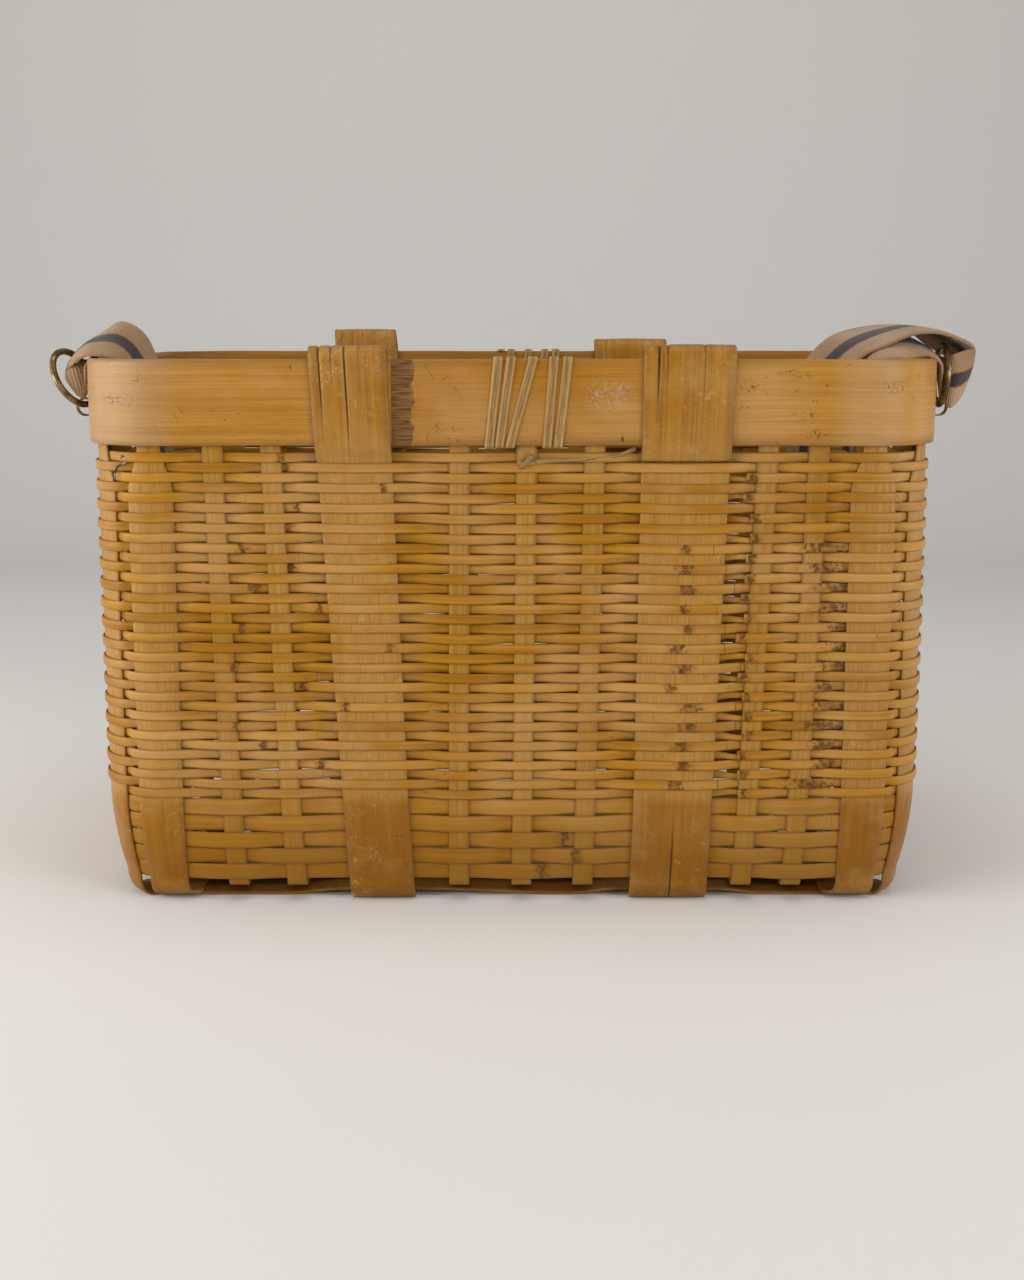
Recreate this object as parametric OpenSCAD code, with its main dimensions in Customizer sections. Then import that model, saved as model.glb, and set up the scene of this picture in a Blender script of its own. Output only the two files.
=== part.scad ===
// Open-topped bamboo creel: plain-woven walls on bent uprights, bent hoops at the rim,
// straps that run under the base, and a webbing shoulder strap on two metal rings.
// X runs along the length, the front faces -Y, Z is up, and the floor is z = 0.

/* [Rim] */
// Length over the outer hoop
rim_length = 440; // [400:4:480]
// Depth over the outer hoop, front to back
rim_depth = 264; // [250:2:300]
// Height of the top of the hoops above the floor
rim_top = 285.5; // [270:0.5:300]
// Height of both hoops
hoop_height = 43.5; // [38:0.5:50]
// Thickness of the outer hoop
outer_hoop_t = 3.2; // [2.6:0.1:4.4]
// Thickness of the inner hoop
inner_hoop_t = 3.5; // [2.5:0.1:4.5]
// Plan radius of the outer hoop at the corners
corner_radius = 40; // [36:1:46]
// Length of the slanted lap where the ends of a hoop meet
hoop_lap = 62; // [40:1:80]
// Place of the tip of the outer hoop's lap along the front
hoop_lap_x = -48; // [-52:1:-44]

/* [Uprights] */
// Width of a narrow upright
stake_w = 10.5; // [8:0.5:13]
// Thickness of a narrow upright
stake_t = 1.2; // [0.9:0.1:1.6]
// Spacing of the narrow uprights on the short sides
side_spacing = 32; // [30:0.5:34]
// Thickness of the two wide straps
wide_strap_t = 2.2; // [1.6:0.1:2.6]
// Width of the left wide strap at the foot
left_strap_w = 34; // [30:1:38]
// Width of the right wide strap at the foot
right_strap_w = 41; // [36:1:44]
// How much wider the wide straps are at the rim
strap_flare = 5; // [0:0.5:8]
// How far the wide straps hang down inside the rim
strap_tail = 62; // [50:1:80]
// How far the left wide strap stands above the rim in front
left_rise_front = 6; // [4:0.5:14]
// How far the left wide strap stands above the rim at the back
left_rise_back = 13; // [4:0.5:14]
// How far the right wide strap stands above the rim in front
right_rise_front = 6.5; // [4:0.5:14]
// How far the right wide strap stands above the rim at the back
right_rise_back = 7; // [4:0.5:14]
// Thickness of the corner straps
corner_strap_t = 1.4; // [1:0.1:1.8]
// Angle of the corner that each corner strap wraps
corner_wrap = 38; // [34:1:40]
// Angle before its corner at which a front or back corner strap starts
corner_strap_lead = 13; // [10:1:16]
// Angle past the side face at which a side corner strap starts
runner_strap_lead = 13; // [10:1:16]

/* [Weave] */
// Height of a narrow weft
weft_h = 4.7; // [3.6:0.1:4.8]
// Thickness of all wefts
weft_t = 1; // [0.7:0.1:1.2]
// Number of narrow weft rows
weft_rows = 35; // [31:2:37]
// Height of a wide weft
wide_weft_h = 8.4; // [7:0.1:8.8]
// Pitch of the wide weft rows
wide_pitch = 9.2; // [9:0.02:9.4]
// Height of the lowest weft above the floor
weave_foot = 12.5; // [12:0.5:15]
// Gap between the hoops and the top row, where the lashing passes through
hoop_clear = 3.3; // [2.6:0.1:4]
// Play between the strips of the weave
weave_play = 0.1; // [0.05:0.01:0.15]
// How far each wall draws in towards the floor
foot_inset = 11; // [6:0.5:14]

/* [Base] */
// Height of the middle of the woven base
mat_z = 9; // [8:0.1:9.5]
// Width of the strips that fill the base
filler_w = 16; // [12:0.5:17]
// Gap left under and over the straps where they cross below the base
crossing_gap = 0.25; // [0.15:0.05:0.4]

/* [Lashing] */
// Width of the strand that binds the hoops
lash_w = 4.6; // [3.6:0.1:4.8]
// Thickness of the strand
lash_t = 0.9; // [0.6:0.1:1.1]

/* [Corner wire] */
// Radius of the wire that is hooked into the top rows at the left front corner
tie_wire_r = 0.45; // [0.35:0.05:0.6]
// Radius of the wire's lower hook
tie_hook_r = 5.5; // [4.5:0.25:6]
// Radius of its upper loop
tie_loop_r = 2; // [1.5:0.25:2.5]

/* [Rings and shoulder strap] */
// Radius of the middle of the ring wire
ring_r = 15.25; // [14:0.25:18]
// Radius of the ring wire
wire_r = 1.75; // [1.5:0.05:2]
// Height of the eyes that hold the rings
eye_z = 259.5; // [257.5:0.5:263.5]
// Place of the rings in front of the middle
ring_y = -82; // [-84:1:-80]
// Bore radius of an eye
eye_r = 3.9; // [3.8:0.1:4.4]
// Thickness of the clip metal
clip_t = 1; // [0.8:0.1:1.2]
// Width of the clip plate
clip_w = 12; // [10:0.5:14]
// Radius of the rivet shanks
rivet_r = 1.2; // [1:0.1:1.5]
// Width of the webbing
webbing_w = 35; // [30:1:38]
// Thickness of the webbing
webbing_t = 2; // [1.5:0.1:2.5]

/* [Hidden] */
$fn = 64;

bamboo = "burlywood";
skin = "peru";
brass = "darkgoldenrod";
cloth = "tan";

// Corner centres of the plan, and the radius of the middle of the uprights
ax = rim_length / 2 - corner_radius;
ay = rim_depth / 2 - corner_radius;
chord_sag = corner_radius * (1 - cos(corner_wrap / 12));
rim_gap = max(corner_strap_t, stake_t) / 2 + weave_play + chord_sag;
mid_r = corner_radius - outer_hoop_t - rim_gap;

// Heights
hoop_foot = rim_top - hoop_height;
wide_rows = 5;
weave_bend = weave_foot + wide_rows * wide_pitch;
row_pitch = (hoop_foot - hoop_clear - weave_bend) / weft_rows;
stake_top = rim_top - hoop_height / 6;

// Places of the narrow uprights along the front: at the hoop and at the foot
stake_x = [[-151.5, -145], [-122, -114], [-26.6, -28], [7.6, 5], [42, 37.5], [129.6, 121.6], [155.4, 148]];
left_strap_x = [-80, -69, -89];
right_strap_x = [88, 83, 77];
side_y = [for (i = [-2:2]) i * side_spacing];

// How far the wall has drawn in at height z, straight between the wide rows
function draw_in(z) = foot_inset * pow(max(0, (weave_bend - z) / weave_bend), 1.8);
function row_foot(k) = weave_foot + k * wide_pitch;
function inset(z) =
    z >= weave_bend ? 0 :
    let (k = max(0, min(wide_rows - 1, floor((z - weave_foot) / wide_pitch))))
    let (f = (z - row_foot(k)) / wide_pitch)
    draw_in(row_foot(k)) * (1 - f) + draw_in(row_foot(k + 1)) * f;

// Place of a leaning upright at height z
function lean(pair, z) = pair[1] + (pair[0] - pair[1]) * (z - weave_foot) / (hoop_foot - weave_foot);

// A place on the wall is [anchor x, anchor y, angle]; its point lies at radius r from the anchor
function on_wall(place, r) = [place[0] + r * sin(place[2]), place[1] - r * cos(place[2])];
function front(x) = [x, -ay, 0];
function right(y) = [ax, y, 90];
function back(x) = [x, ay, 180];
function left(y) = [-ax, y, 270];
function corner(a) =
    a < 90 ? [ax, -ay, a] :
    a < 180 ? [ax, ay, a] :
    a < 270 ? [-ax, ay, a] : [-ax, -ay, a];

// A closed solid through rings of points that all turn the same way
module loft(rings) {
    n = len(rings[0]);
    m = len(rings);
    sides = [
        for (i = [0:m - 2], j = [0:n - 1])
            let (k = (j + 1) % n)
            each [
                [i * n + j, i * n + k, (i + 1) * n + k],
                [i * n + j, (i + 1) * n + k, (i + 1) * n + j]
            ]
    ];
    caps = [
        for (j = [1:n - 2])
            each [[0, j + 1, j], [(m - 1) * n, (m - 1) * n + j, (m - 1) * n + j + 1]]
    ];
    polyhedron([for (r = rings) each r], concat(sides, caps), convexity = 10);
}

// ---------------------------------------------------------------- hoops
module plan_outline(r) {
    union() {
        square([2 * ax, 2 * (ay + r)], center = true);
        square([2 * (ax + r), 2 * ay], center = true);
        for (x = [-ax, ax], y = [-ay, ay]) translate([x, y]) circle(r);
    }
}

// The slanted cut where the two ends of a hoop lie over each other, tip at x
module lap_cut(x, dir, outer_y, inner_y) {
    cut = 0.25;
    polygon([
        [x, outer_y - 1], [x + cut, outer_y - 1], [x + cut, outer_y],
        [x + cut - dir * hoop_lap, inner_y], [x + cut - dir * hoop_lap, inner_y + 1],
        [x - dir * hoop_lap, inner_y + 1], [x - dir * hoop_lap, inner_y], [x, outer_y]
    ]);
}

module hoop(r_out, t, lap_x, dir) {
    translate([0, 0, hoop_foot]) linear_extrude(hoop_height) difference() {
        plan_outline(r_out);
        plan_outline(r_out - t);
        lap_cut(lap_x, dir, -(ay + r_out), -(ay + r_out - t));
    }
}

rivet_spread = 6.4;
rivet_places = [for (x = [-1, 1], s = [-0.5, 0.5]) [x, ring_y + s * rivet_spread]];
rivet_z = hoop_foot + 6.5;
side_face = ax + corner_radius;
inner_r = mid_r - rim_gap;
inner_face = ax + inner_r - inner_hoop_t;

module rivet_bores() {
    for (p = rivet_places)
        translate([p[0] * (inner_face - 2), p[1], rivet_z]) rotate([0, p[0] * 90, 0])
            cylinder(r = rivet_r + weave_play, h = side_face - inner_face + 4);
}

module outer_rim_hoop() {
    color(skin) difference() {
        hoop(corner_radius, outer_hoop_t, hoop_lap_x, 1);
        rivet_bores();
    }
}

module inner_rim_hoop() {
    color(bamboo) difference() {
        mirror([0, 1, 0]) hoop(inner_r, inner_hoop_t, -hoop_lap_x, -1);
        rivet_bores();
    }
}

// ---------------------------------------------------------------- strips of the uprights
// Heights at which the wall part of every upright has a ring
wall_z = concat([for (k = [0:wide_rows]) row_foot(k)], [stake_top]);
bend_steps = 3;
bend_depth = 0.8;

// Profile of a U-shaped strip in its own plane: [distance out, height, outward x, outward z].
// reach is the distance from the middle to the wall's uprights, base_z the height of its run.
function leg(reach, base_z, top_z) =
    let (
        foot = inset(weave_foot),
        drop = weave_foot - base_z,
        wall = [for (z = wall_z) if (z <= weave_bend) [reach - inset(z), z, 1, 0]],
        bend = [
            for (i = [1:bend_steps])
                let (a = 90 * i / bend_steps)
                let (x = reach - foot - drop * bend_depth * (1 - cos(a)))
                [x, base_z + drop * (1 - sin(a)), cos(a), -sin(a)]
        ]
    )
    concat([[reach, top_z, 1, 0]], [for (i = [len(wall) - 1:-1:0]) wall[i]], bend);

// Rings of a strip from profile rows: across is the pair of edges, along X or along Y
function strip_ring(row, side, edges, t, along_x) =
    let (
        a = side * row[0],
        na = side * row[2],
        pts = [
            for (k = [[0, 1], [1, 1], [1, -1], [0, -1]])
                let (o = k[1] * t / 2)
                [edges[k[0]], a + o * na, row[1] + o * row[3]]
        ]
    )
    along_x ? [for (i = [3:-1:0]) [pts[i][1], pts[i][0], pts[i][2]]] : pts;

// Edges of a leaning strip: centre goes with height between two values
function edges_at(pair, w, z) = let (c = lean(pair, z)) [c - w / 2, c + w / 2];

// Waves of a strip in the base: for each strip it crosses [place, width, +1 above or -1 below]
mat_step = (stake_t + weave_play) / 2;
mat_room = 0.4;
function waves(cross) = [
    for (c = cross, s = [-1, 1])
        [c[0] + s * (c[1] / 2 + mat_room), mat_z + c[2] * mat_step]
];

function u_strip(pair, w, t, reach, cross, along_x) =
    let (
        down = leg(reach, mat_z, stake_top),
        up = [for (i = [len(down) - 1:-1:0]) down[i]]
    )
    concat(
        [for (r = down) strip_ring(r, -1, edges_at(pair, w, r[1]), t, along_x)],
        [for (p = waves(cross)) strip_ring([p[0], p[1], 0, -1], 1, edges_at(pair, w, 0), t, along_x)],
        [for (r = up) strip_ring(r, 1, edges_at(pair, w, r[1]), t, along_x)]
    );

reach_y = ay + mid_r;
reach_x = ax + mid_r;

// Crosswise strips of the base from left to right: [x, width, number of its upright or -1].
// A cut strip and two fillers lie over each wide strap.
function foot_x(i) = lean(stake_x[i], 0);
function between(i, f) = foot_x(i) * (1 - f) + foot_x(i + 1) * f;
function room_w(i) = min(filler_w, foot_x(i + 1) - foot_x(i) - stake_w - 2);
function over_strap(i) = [
    [between(i, 0.26), filler_w, -1], [between(i, 0.5), stake_w, -1], [between(i, 0.74), filler_w, -1]
];
base_x = [
    for (i = [0:6])
        each concat(
            [[foot_x(i), stake_w, i]],
            i == 6 ? [] : i == 1 || i == 4 ? over_strap(i) : [[between(i, 0.5), room_w(i), -1]]
        )
];
// Lengthwise strips of the base from front to back: every other one is an upright
base_y = [
    for (i = [-5:5]) [i / 2 * side_spacing, i % 2 == 0 ? stake_w : filler_w, i % 2 == 0 ? i : -1]
];
function cross_of(list, sign) = [
    for (i = [0:len(list) - 1]) [list[i][0], list[i][1], (i % 2 == 0 ? 1 : -1) * sign]
];

module crosswise_stakes() {
    color(bamboo)
        for (i = [0:len(base_x) - 1])
            let (b = base_x[i])
            if (b[2] >= 0)
                loft(u_strip(stake_x[b[2]], stake_w, stake_t, reach_y,
                    cross_of(base_y, i % 2 == 0 ? 1 : -1), false));
}

module lengthwise_stakes() {
    color(bamboo)
        for (j = [0:len(base_y) - 1])
            let (y = base_y[j][0])
            if (j % 2 == 1)
                loft(u_strip([y, y], stake_w, stake_t, reach_x,
                    cross_of(base_x, j % 2 == 0 ? -1 : 1), true));
}

// A flat strip of the base that waves over and under the strips it crosses
module wave_strip(cross, w, overhang) {
    run = waves(cross);
    n = len(run);
    line = concat([[run[0][0] - overhang, run[0][1]]], run, [[run[n - 1][0] + overhang, run[n - 1][1]]]);
    translate([-w / 2, 0, 0]) rotate([90, 0, 90]) linear_extrude(w) polygon(concat(
        [for (p = line) [p[0], p[1] - stake_t / 2]],
        [for (i = [len(line) - 1:-1:0]) [line[i][0], line[i][1] + stake_t / 2]]
    ));
}

module crosswise_base_fillers() {
    color(bamboo)
        for (i = [0:len(base_x) - 1])
            if (base_x[i][2] < 0)
                translate([base_x[i][0], 0, 0])
                    wave_strip(cross_of(base_y, i % 2 == 0 ? 1 : -1), base_x[i][1], 3);
}

module lengthwise_base_fillers() {
    color(bamboo)
        for (j = [0:2:len(base_y) - 1])
            translate([0, base_y[j][0], 0]) rotate([0, 0, -90])
                wave_strip(cross_of(base_x, -1), base_y[j][1], 3);
}

// ---------------------------------------------------------------- wide straps
strap_out = rim_gap + outer_hoop_t + weave_play + wide_strap_t / 2;
strap_in = rim_gap + inner_hoop_t + weave_play + wide_strap_t / 2;
rim_play = 0.3;

// Profile from the hidden tail, over the rim and down the outside
function strap_leg(rise) =
    let (
        c = reach_y + (strap_out - strap_in) / 2,
        r = (strap_out + strap_in) / 2,
        spring = rim_top + rim_play,
        down = leg(reach_y, wide_strap_t / 2, hoop_foot - hoop_clear - row_pitch + weave_play)
    )
    concat(
        [[reach_y - strap_in, rim_top - strap_tail, -1, 0], [reach_y - strap_in, spring, -1, 0]],
        [
            for (a = [135, 90, 45])
                [c + r * cos(a), spring + (rise - wide_strap_t / 2) * sin(a), cos(a), sin(a)]
        ],
        [
            [reach_y + strap_out, spring, 1, 0], [reach_y + strap_out, hoop_foot - rim_play, 1, 0]
        ],
        down
    );

// Places are at the front rim, at the foot and at the back rim
module wide_strap(places, w, rise_front, rise_back) {
    function edges(z, top) =
        let (
            c = lean([top, places[1]], z),
            g = w + strap_flare * max(0, min(1, (z - weave_bend) / (rim_top - weave_bend)))
        )
        [c - g / 2, c + g / 2];
    function ring(row, side, top) = strip_ring(row, side, edges(row[1], top), wide_strap_t, false);
    front_leg = strap_leg(rise_front);
    back_leg = strap_leg(rise_back);
    loft(concat(
        [for (r = front_leg) ring(r, -1, places[0])],
        [for (i = [len(back_leg) - 1:-1:0]) ring(back_leg[i], 1, places[2])]
    ));
}

module left_wide_strap() {
    color(skin) wide_strap(left_strap_x, left_strap_w, left_rise_front, left_rise_back);
}

module right_wide_strap() {
    color(skin) wide_strap(right_strap_x, right_strap_w, right_rise_front, right_rise_back);
}

// ---------------------------------------------------------------- corner straps
corner_points = 4;
corner_strap_w = mid_r * corner_wrap * PI / 180;
corner_z = corner_strap_t * 1.5 + 2 * crossing_gap;
runner_low = corner_strap_t / 2;
runner_high = wide_strap_t + crossing_gap + corner_strap_t / 2;

// Share of the full width that a corner strap has at height z: it narrows to half at the rim
taper_h = 25;
function strap_share(z) = 1 - 0.5 * max(0, min(1, (z - hoop_foot + taper_h) / taper_h));

// Angle of point j across a corner strap, measured from its own face of the basket
function wrap_angle(j, z) =
    corner_wrap * (1 - strap_share(z)) / 2 + corner_wrap * strap_share(z) * j / (corner_points - 1);

// The same point as an angle from the front face, and its place. Before the arc of the
// corner it lies on the front face.
function corner_angle(j, z, crosswise) =
    crosswise ? wrap_angle(j, z) - corner_strap_lead : 90 - runner_strap_lead - wrap_angle(j, z);
function arc_run(w) = mid_r * w * PI / 180;
function corner_spot(w) = w < 0 ? front(ax + arc_run(w)) : [ax, -ay, w];

// One ring on the wall: outer points, then inner points back. A crosswise strap turns from
// the front face, a lengthwise one from the side face.
function corner_ring(z, crosswise) =
    let (
        pts = function (o) [
            for (j = [0:corner_points - 1])
                let (p = on_wall(corner_spot(corner_angle(j, z, crosswise)), mid_r - inset(z) + o))
                [p[0], p[1], z]
        ]
    )
    concat(pts(corner_strap_t / 2), [for (j = [corner_points - 1:-1:0]) pts(-corner_strap_t / 2)[j]]);

// Rings that carry it round under the base to a flat run, and the edges of that run nearest
// to the middle of the basket
corner_run_in = 14;
corner_run_x = ax - corner_run_in;
runner_run_in = 6;
runner_run_y = ay - runner_run_in;
run_in = 17;
runner_bend_in = 7;
function corner_bend(crosswise, base_z) =
    let (
        r = mid_r - inset(weave_foot),
        n = corner_points
    )
    [
        for (i = [1:bend_steps])
            let (
                t = i / bend_steps,
                pts = function (o) [
                    for (j = [0:n - 1])
                        let (
                            spot = corner_spot(corner_angle(j, 0, crosswise)),
                            w = spot[2],
                            top = on_wall(spot, r),
                            flat = crosswise
                                ? [corner_run_x + corner_strap_w * j / (n - 1), -(reach_y - run_in)]
                                : [top[0] - runner_bend_in, -(runner_run_y + corner_strap_w * j / (n - 1))],
                            b = (1 - t) * (1 - t),
                            c = 2 * t * (1 - t),
                            p = (b + c) * top + t * t * flat,
                            z = b * weave_foot + (c + t * t) * base_z
                        )
                        [
                            p[0] + o * cos(90 * t) * sin(w), p[1] - o * cos(90 * t) * cos(w),
                            z - o * sin(90 * t)
                        ]
                ],
                outer = pts(corner_strap_t / 2),
                inner = pts(-corner_strap_t / 2)
            )
            concat(outer, [for (j = [n - 1:-1:0]) inner[j]])
    ];

function flipped(ring, along_x) = [for (p = ring) along_x ? [-p[0], p[1], p[2]] : [p[0], -p[1], p[2]]];

function corner_leg(crosswise, base_z) = concat(
    [for (z = concat([stake_top, hoop_foot], [hoop_foot - taper_h], [for (k = [wide_rows:-1:0]) row_foot(k)]))
        corner_ring(z, crosswise)],
    corner_bend(crosswise, base_z)
);

// A flat ring of a lengthwise runner at place x and height z
function runner_ring(x, z) =
    let (last = corner_bend(false, z)[bend_steps - 1])
    [for (p = last) [x, p[1], p[2]]];

// The front-right strap of the crosswise pair
module corner_strap() {
    down = corner_leg(true, corner_z);
    n = len(down);
    up = [for (i = [n - 1:-1:0]) flipped(down[i], false)];
    loft(concat(down, up));
}

module right_corner_strap() {
    color(skin) corner_strap();
}

module left_corner_strap() {
    color(skin) mirror([1, 0, 0]) corner_strap();
}

// The lengthwise strap drops to the floor at both ends and in the middle, and passes over
// the two wide straps
runner_sag_x = 31;
runner_drop = 34;
runner_room = 6;
module runner_strap() {
    down = corner_leg(false, runner_low);
    n = len(down);
    function over(x, w) = [for (s = [1, -1]) [x + s * (w / 2 + runner_room), runner_high]];
    stops = concat(
        [[right_strap_x[1] + right_strap_w / 2 + runner_drop, runner_low]],
        over(right_strap_x[1], right_strap_w), [[runner_sag_x, runner_low]],
        over(left_strap_x[1], left_strap_w),
        [[left_strap_x[1] - left_strap_w / 2 - runner_drop, runner_low]]
    );
    loft(concat(
        down,
        [for (s = stops) runner_ring(s[0], s[1])],
        [for (i = [n - 1:-1:0]) flipped(down[i], true)]
    ));
}

module front_runner_strap() {
    color(skin) runner_strap();
}

module back_runner_strap() {
    color(skin) mirror([0, 1, 0]) runner_strap();
}

// ---------------------------------------------------------------- wefts
// Uprights round the basket at height z, in order: [places, thickness, strap]
lead = 0.6;
taper_room = 0.25;
function narrow_at(kind, c) = [[kind == 0 ? front(c - stake_w / 2 - lead) : back(c + stake_w / 2 + lead),
    kind == 0 ? front(c + stake_w / 2 + lead) : back(c - stake_w / 2 - lead)], stake_t, false];
function wide_at(kind, places, w, z) =
    let (
        g = w + strap_flare * max(0, min(1, (z - weave_bend) / (rim_top - weave_bend))),
        c = lean([places[kind == 0 ? 0 : 2], places[1]], z)
    )
    [[kind == 0 ? front(c - g / 2 - lead) : back(c + g / 2 + lead),
        kind == 0 ? front(c + g / 2 + lead) : back(c - g / 2 - lead)], wide_strap_t, true];
function side_at(kind, c) = [[kind == 1 ? right(c - stake_w / 2 - lead) : left(c + stake_w / 2 + lead),
    kind == 1 ? right(c + stake_w / 2 + lead) : left(c - stake_w / 2 - lead)], stake_t, false];

// Corner q, with its two straps in the order that the path meets them
function corner_at(q, z) =
    let (
        step = lead / mid_r * 180 / PI,
        a = [for (j = [0:corner_points - 1]) wrap_angle(j, z)],
        n = corner_points,
        t = corner_strap_t + (strap_share(z + weft_h) < 1 ? 2 * taper_room : 0),
        edge = concat([a[0] - step], a, [a[n - 1] + step]),
        crosswise_first = q % 2 == 0,
        near = crosswise_first ? -corner_strap_lead : runner_strap_lead,
        far = crosswise_first ? runner_strap_lead : -corner_strap_lead,
        first = [for (w = edge) w + near],
        second = [for (i = [n + 1:-1:0]) 90 - far - edge[i]],
        place = function (w) w < 0 ? (
            q == 0 ? front(ax + arc_run(w)) : q == 1 ? right(ay + arc_run(w)) :
            q == 2 ? back(-ax - arc_run(w)) : left(-ay - arc_run(w))
        ) : w > 90 ? (
            q == 0 ? right(-ay + arc_run(w - 90)) : q == 1 ? back(ax - arc_run(w - 90)) :
            q == 2 ? left(ay - arc_run(w - 90)) : front(-ax + arc_run(w - 90))
        ) : corner(q * 90 + w - (w == 90 ? 0.001 : 0))
    )
    [
        [[for (w = first) place(w)], t, true],
        [[for (w = second) place(w)], t, true]
    ];

function uprights(z) = concat(
    [for (i = [0:1]) narrow_at(0, lean(stake_x[i], z))], [wide_at(0, left_strap_x, left_strap_w, z)],
    [for (i = [2:4]) narrow_at(0, lean(stake_x[i], z))], [wide_at(0, right_strap_x, right_strap_w, z)],
    [for (i = [5:6]) narrow_at(0, lean(stake_x[i], z))],
    corner_at(0, z), [for (y = side_y) side_at(1, y)], corner_at(1, z),
    [for (i = [6, 5]) narrow_at(2, lean(stake_x[i], z))], [wide_at(2, right_strap_x, right_strap_w, z)],
    [for (i = [4, 3, 2]) narrow_at(2, lean(stake_x[i], z))], [wide_at(2, left_strap_x, left_strap_w, z)],
    [for (i = [1, 0]) narrow_at(2, lean(stake_x[i], z))],
    corner_at(2, z), [for (i = [4:-1:0]) side_at(3, side_y[i])], corner_at(3, z)
);

// Path of one row: each point is [place, distance out from the middle of the uprights]
function weft_path(z, sign, behind_straps) =
    let (all = uprights(z))
    [
        for (i = [0:len(all) - 1])
            let (
                u = all[i],
                side = behind_straps && u[2] ? -1 : (i % 2 == 0 ? -1 : 1) * sign,
                out = side * (u[1] / 2 + weave_play + weft_t / 2)
            )
            for (p = u[0]) [p, out]
    ];

function weft_loop(path, r, side) = [for (p = path) on_wall(p[0], r + p[1] + side * weft_t / 2)];

// A narrow row is one strip on edge, bent in and out round the uprights
module narrow_row(k) {
    z = hoop_foot - hoop_clear - k * row_pitch - weft_h;
    path = weft_path(z + weft_h / 2, k % 2 == 0 ? 1 : -1, false);
    n = len(path);
    translate([0, 0, z]) linear_extrude(weft_h) polygon(
        concat(weft_loop(path, mid_r, 1), weft_loop(path, mid_r, -1)),
        [[for (i = [0:n - 1]) i], [for (i = [0:n - 1]) n + i]]
    );
}

module narrow_rows(first, last) {
    color(bamboo) for (k = [first:last]) narrow_row(k);
}

module weft_rows_top() {
    narrow_rows(0, 8);
}

module weft_rows_upper() {
    narrow_rows(9, 17);
}

module weft_rows_lower() {
    narrow_rows(18, 26);
}

module weft_rows_bottom() {
    narrow_rows(27, weft_rows - 1);
}

// A wide row leans with the wall, so it is a band with four edges
module wide_row(k) {
    z = row_foot(k) + (wide_pitch - wide_weft_h) / 2;
    path = weft_path(z + wide_weft_h / 2, k % 2 == 0 ? -1 : 1, true);
    n = len(path);
    low = mid_r - inset(z);
    high = mid_r - inset(z + wide_weft_h);
    function lift(loop, h) = [for (p = loop) [p[0], p[1], h]];
    points = concat(
        lift(weft_loop(path, low, 1), z), lift(weft_loop(path, high, 1), z + wide_weft_h),
        lift(weft_loop(path, high, -1), z + wide_weft_h), lift(weft_loop(path, low, -1), z)
    );
    faces = [
        for (i = [0:n - 1], e = [0:3])
            let (j = (i + 1) % n, f = (e + 1) % 4)
            each [
                [e * n + i, f * n + i, e * n + j],
                [e * n + j, f * n + i, f * n + j]
            ]
    ];
    polyhedron(points, faces, convexity = 10);
}

module wide_weft_rows() {
    color(bamboo) for (k = [0:wide_rows - 1]) wide_row(k);
}

// ---------------------------------------------------------------- lashing
// Places of the turns at the top and at the bottom of the hoops
lash_top_x = [-7, -0.5, 10.5, 21, 28];
lash_foot_x = [-11.5, -6.3, -1, 17.6, 23.2];
lash_out = rim_gap + outer_hoop_t + weave_play + lash_t / 2;
lash_in = rim_gap + inner_hoop_t + weave_play + lash_t / 2;
lash_up = rim_top + weave_play + lash_t / 2;
lash_down = hoop_foot - weave_play - lash_t / 2;

// One flat ring of the strand at x, distance out d and height z; (nd, nz) points away from the hoop
function lash_ring(x, d, z, nd, nz) =
    let (y = -(reach_y + d))
    [
        for (k = [[-1, 1], [1, 1], [1, -1], [-1, -1]])
            [x + k[0] * lash_w / 2, y - k[1] * nd * lash_t / 2, z + k[1] * nz * lash_t / 2]
    ];

module lashing() {
    last = len(lash_top_x) - 1;
    s = sqrt(0.5);
    loft([
        for (i = [0:last])
            let (
                t = lash_top_x[i],
                f = lash_foot_x[i]
            )
            each [
                lash_ring(t, -lash_in, lash_up, -s, s), lash_ring(t, lash_out, lash_up, s, s),
                lash_ring(f, lash_out, lash_down, s, -s), lash_ring(f + 0.3, -lash_in, lash_down, -s, -s),
                each i == last ? [lash_ring(f + 1.5, -lash_in, (rim_top + hoop_foot) / 2, -1, 0)] : []
            ]
    ]);
}

module front_rim_lashing() {
    color(skin) lashing();
}

module back_rim_lashing() {
    color(skin) mirror([0, 1, 0]) lashing();
}

// ---------------------------------------------------------------- corner wire
tie_shift = 4;
tie_angle = (90 - corner_strap_lead - runner_strap_lead) / 2 - tie_shift;
tie_out = 1.2;
tie_drop = 1.3;

// A bent wire in the middle of the corner: a hook that opens to the corner, and a small loop
// above it that turns back. It lies against the rows on both sides.
module corner_tie_wire() {
    z = hoop_foot - hoop_clear - 2 * row_pitch - tie_drop;
    color("dimgray") mirror([1, 0, 0]) translate([ax, -ay, z]) rotate([0, 0, tie_angle])
        translate([0, -(mid_r + tie_out), 0]) rotate([90, 0, 0]) {
            rotate([0, 0, -20]) rotate_extrude(angle = 110) translate([tie_hook_r, 0]) circle(tie_wire_r);
            translate([0, tie_hook_r, 0]) sphere(tie_wire_r + 0.04);
            translate([0, tie_hook_r + tie_loop_r, 0]) rotate([0, 0, 30])
                rotate_extrude(angle = 240) translate([tie_loop_r, 0]) circle(tie_wire_r);
        }
}

// ---------------------------------------------------------------- rings and clips
eye_x = side_face + eye_r + clip_t + weave_play;
eye_w = 3;
clip_h = 8;
ring_play = 0.9;
hinge_z = eye_z + eye_r - wire_r - ring_play;
ring_lean = [26, 3];
ring_yaw = [24, 0];

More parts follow.
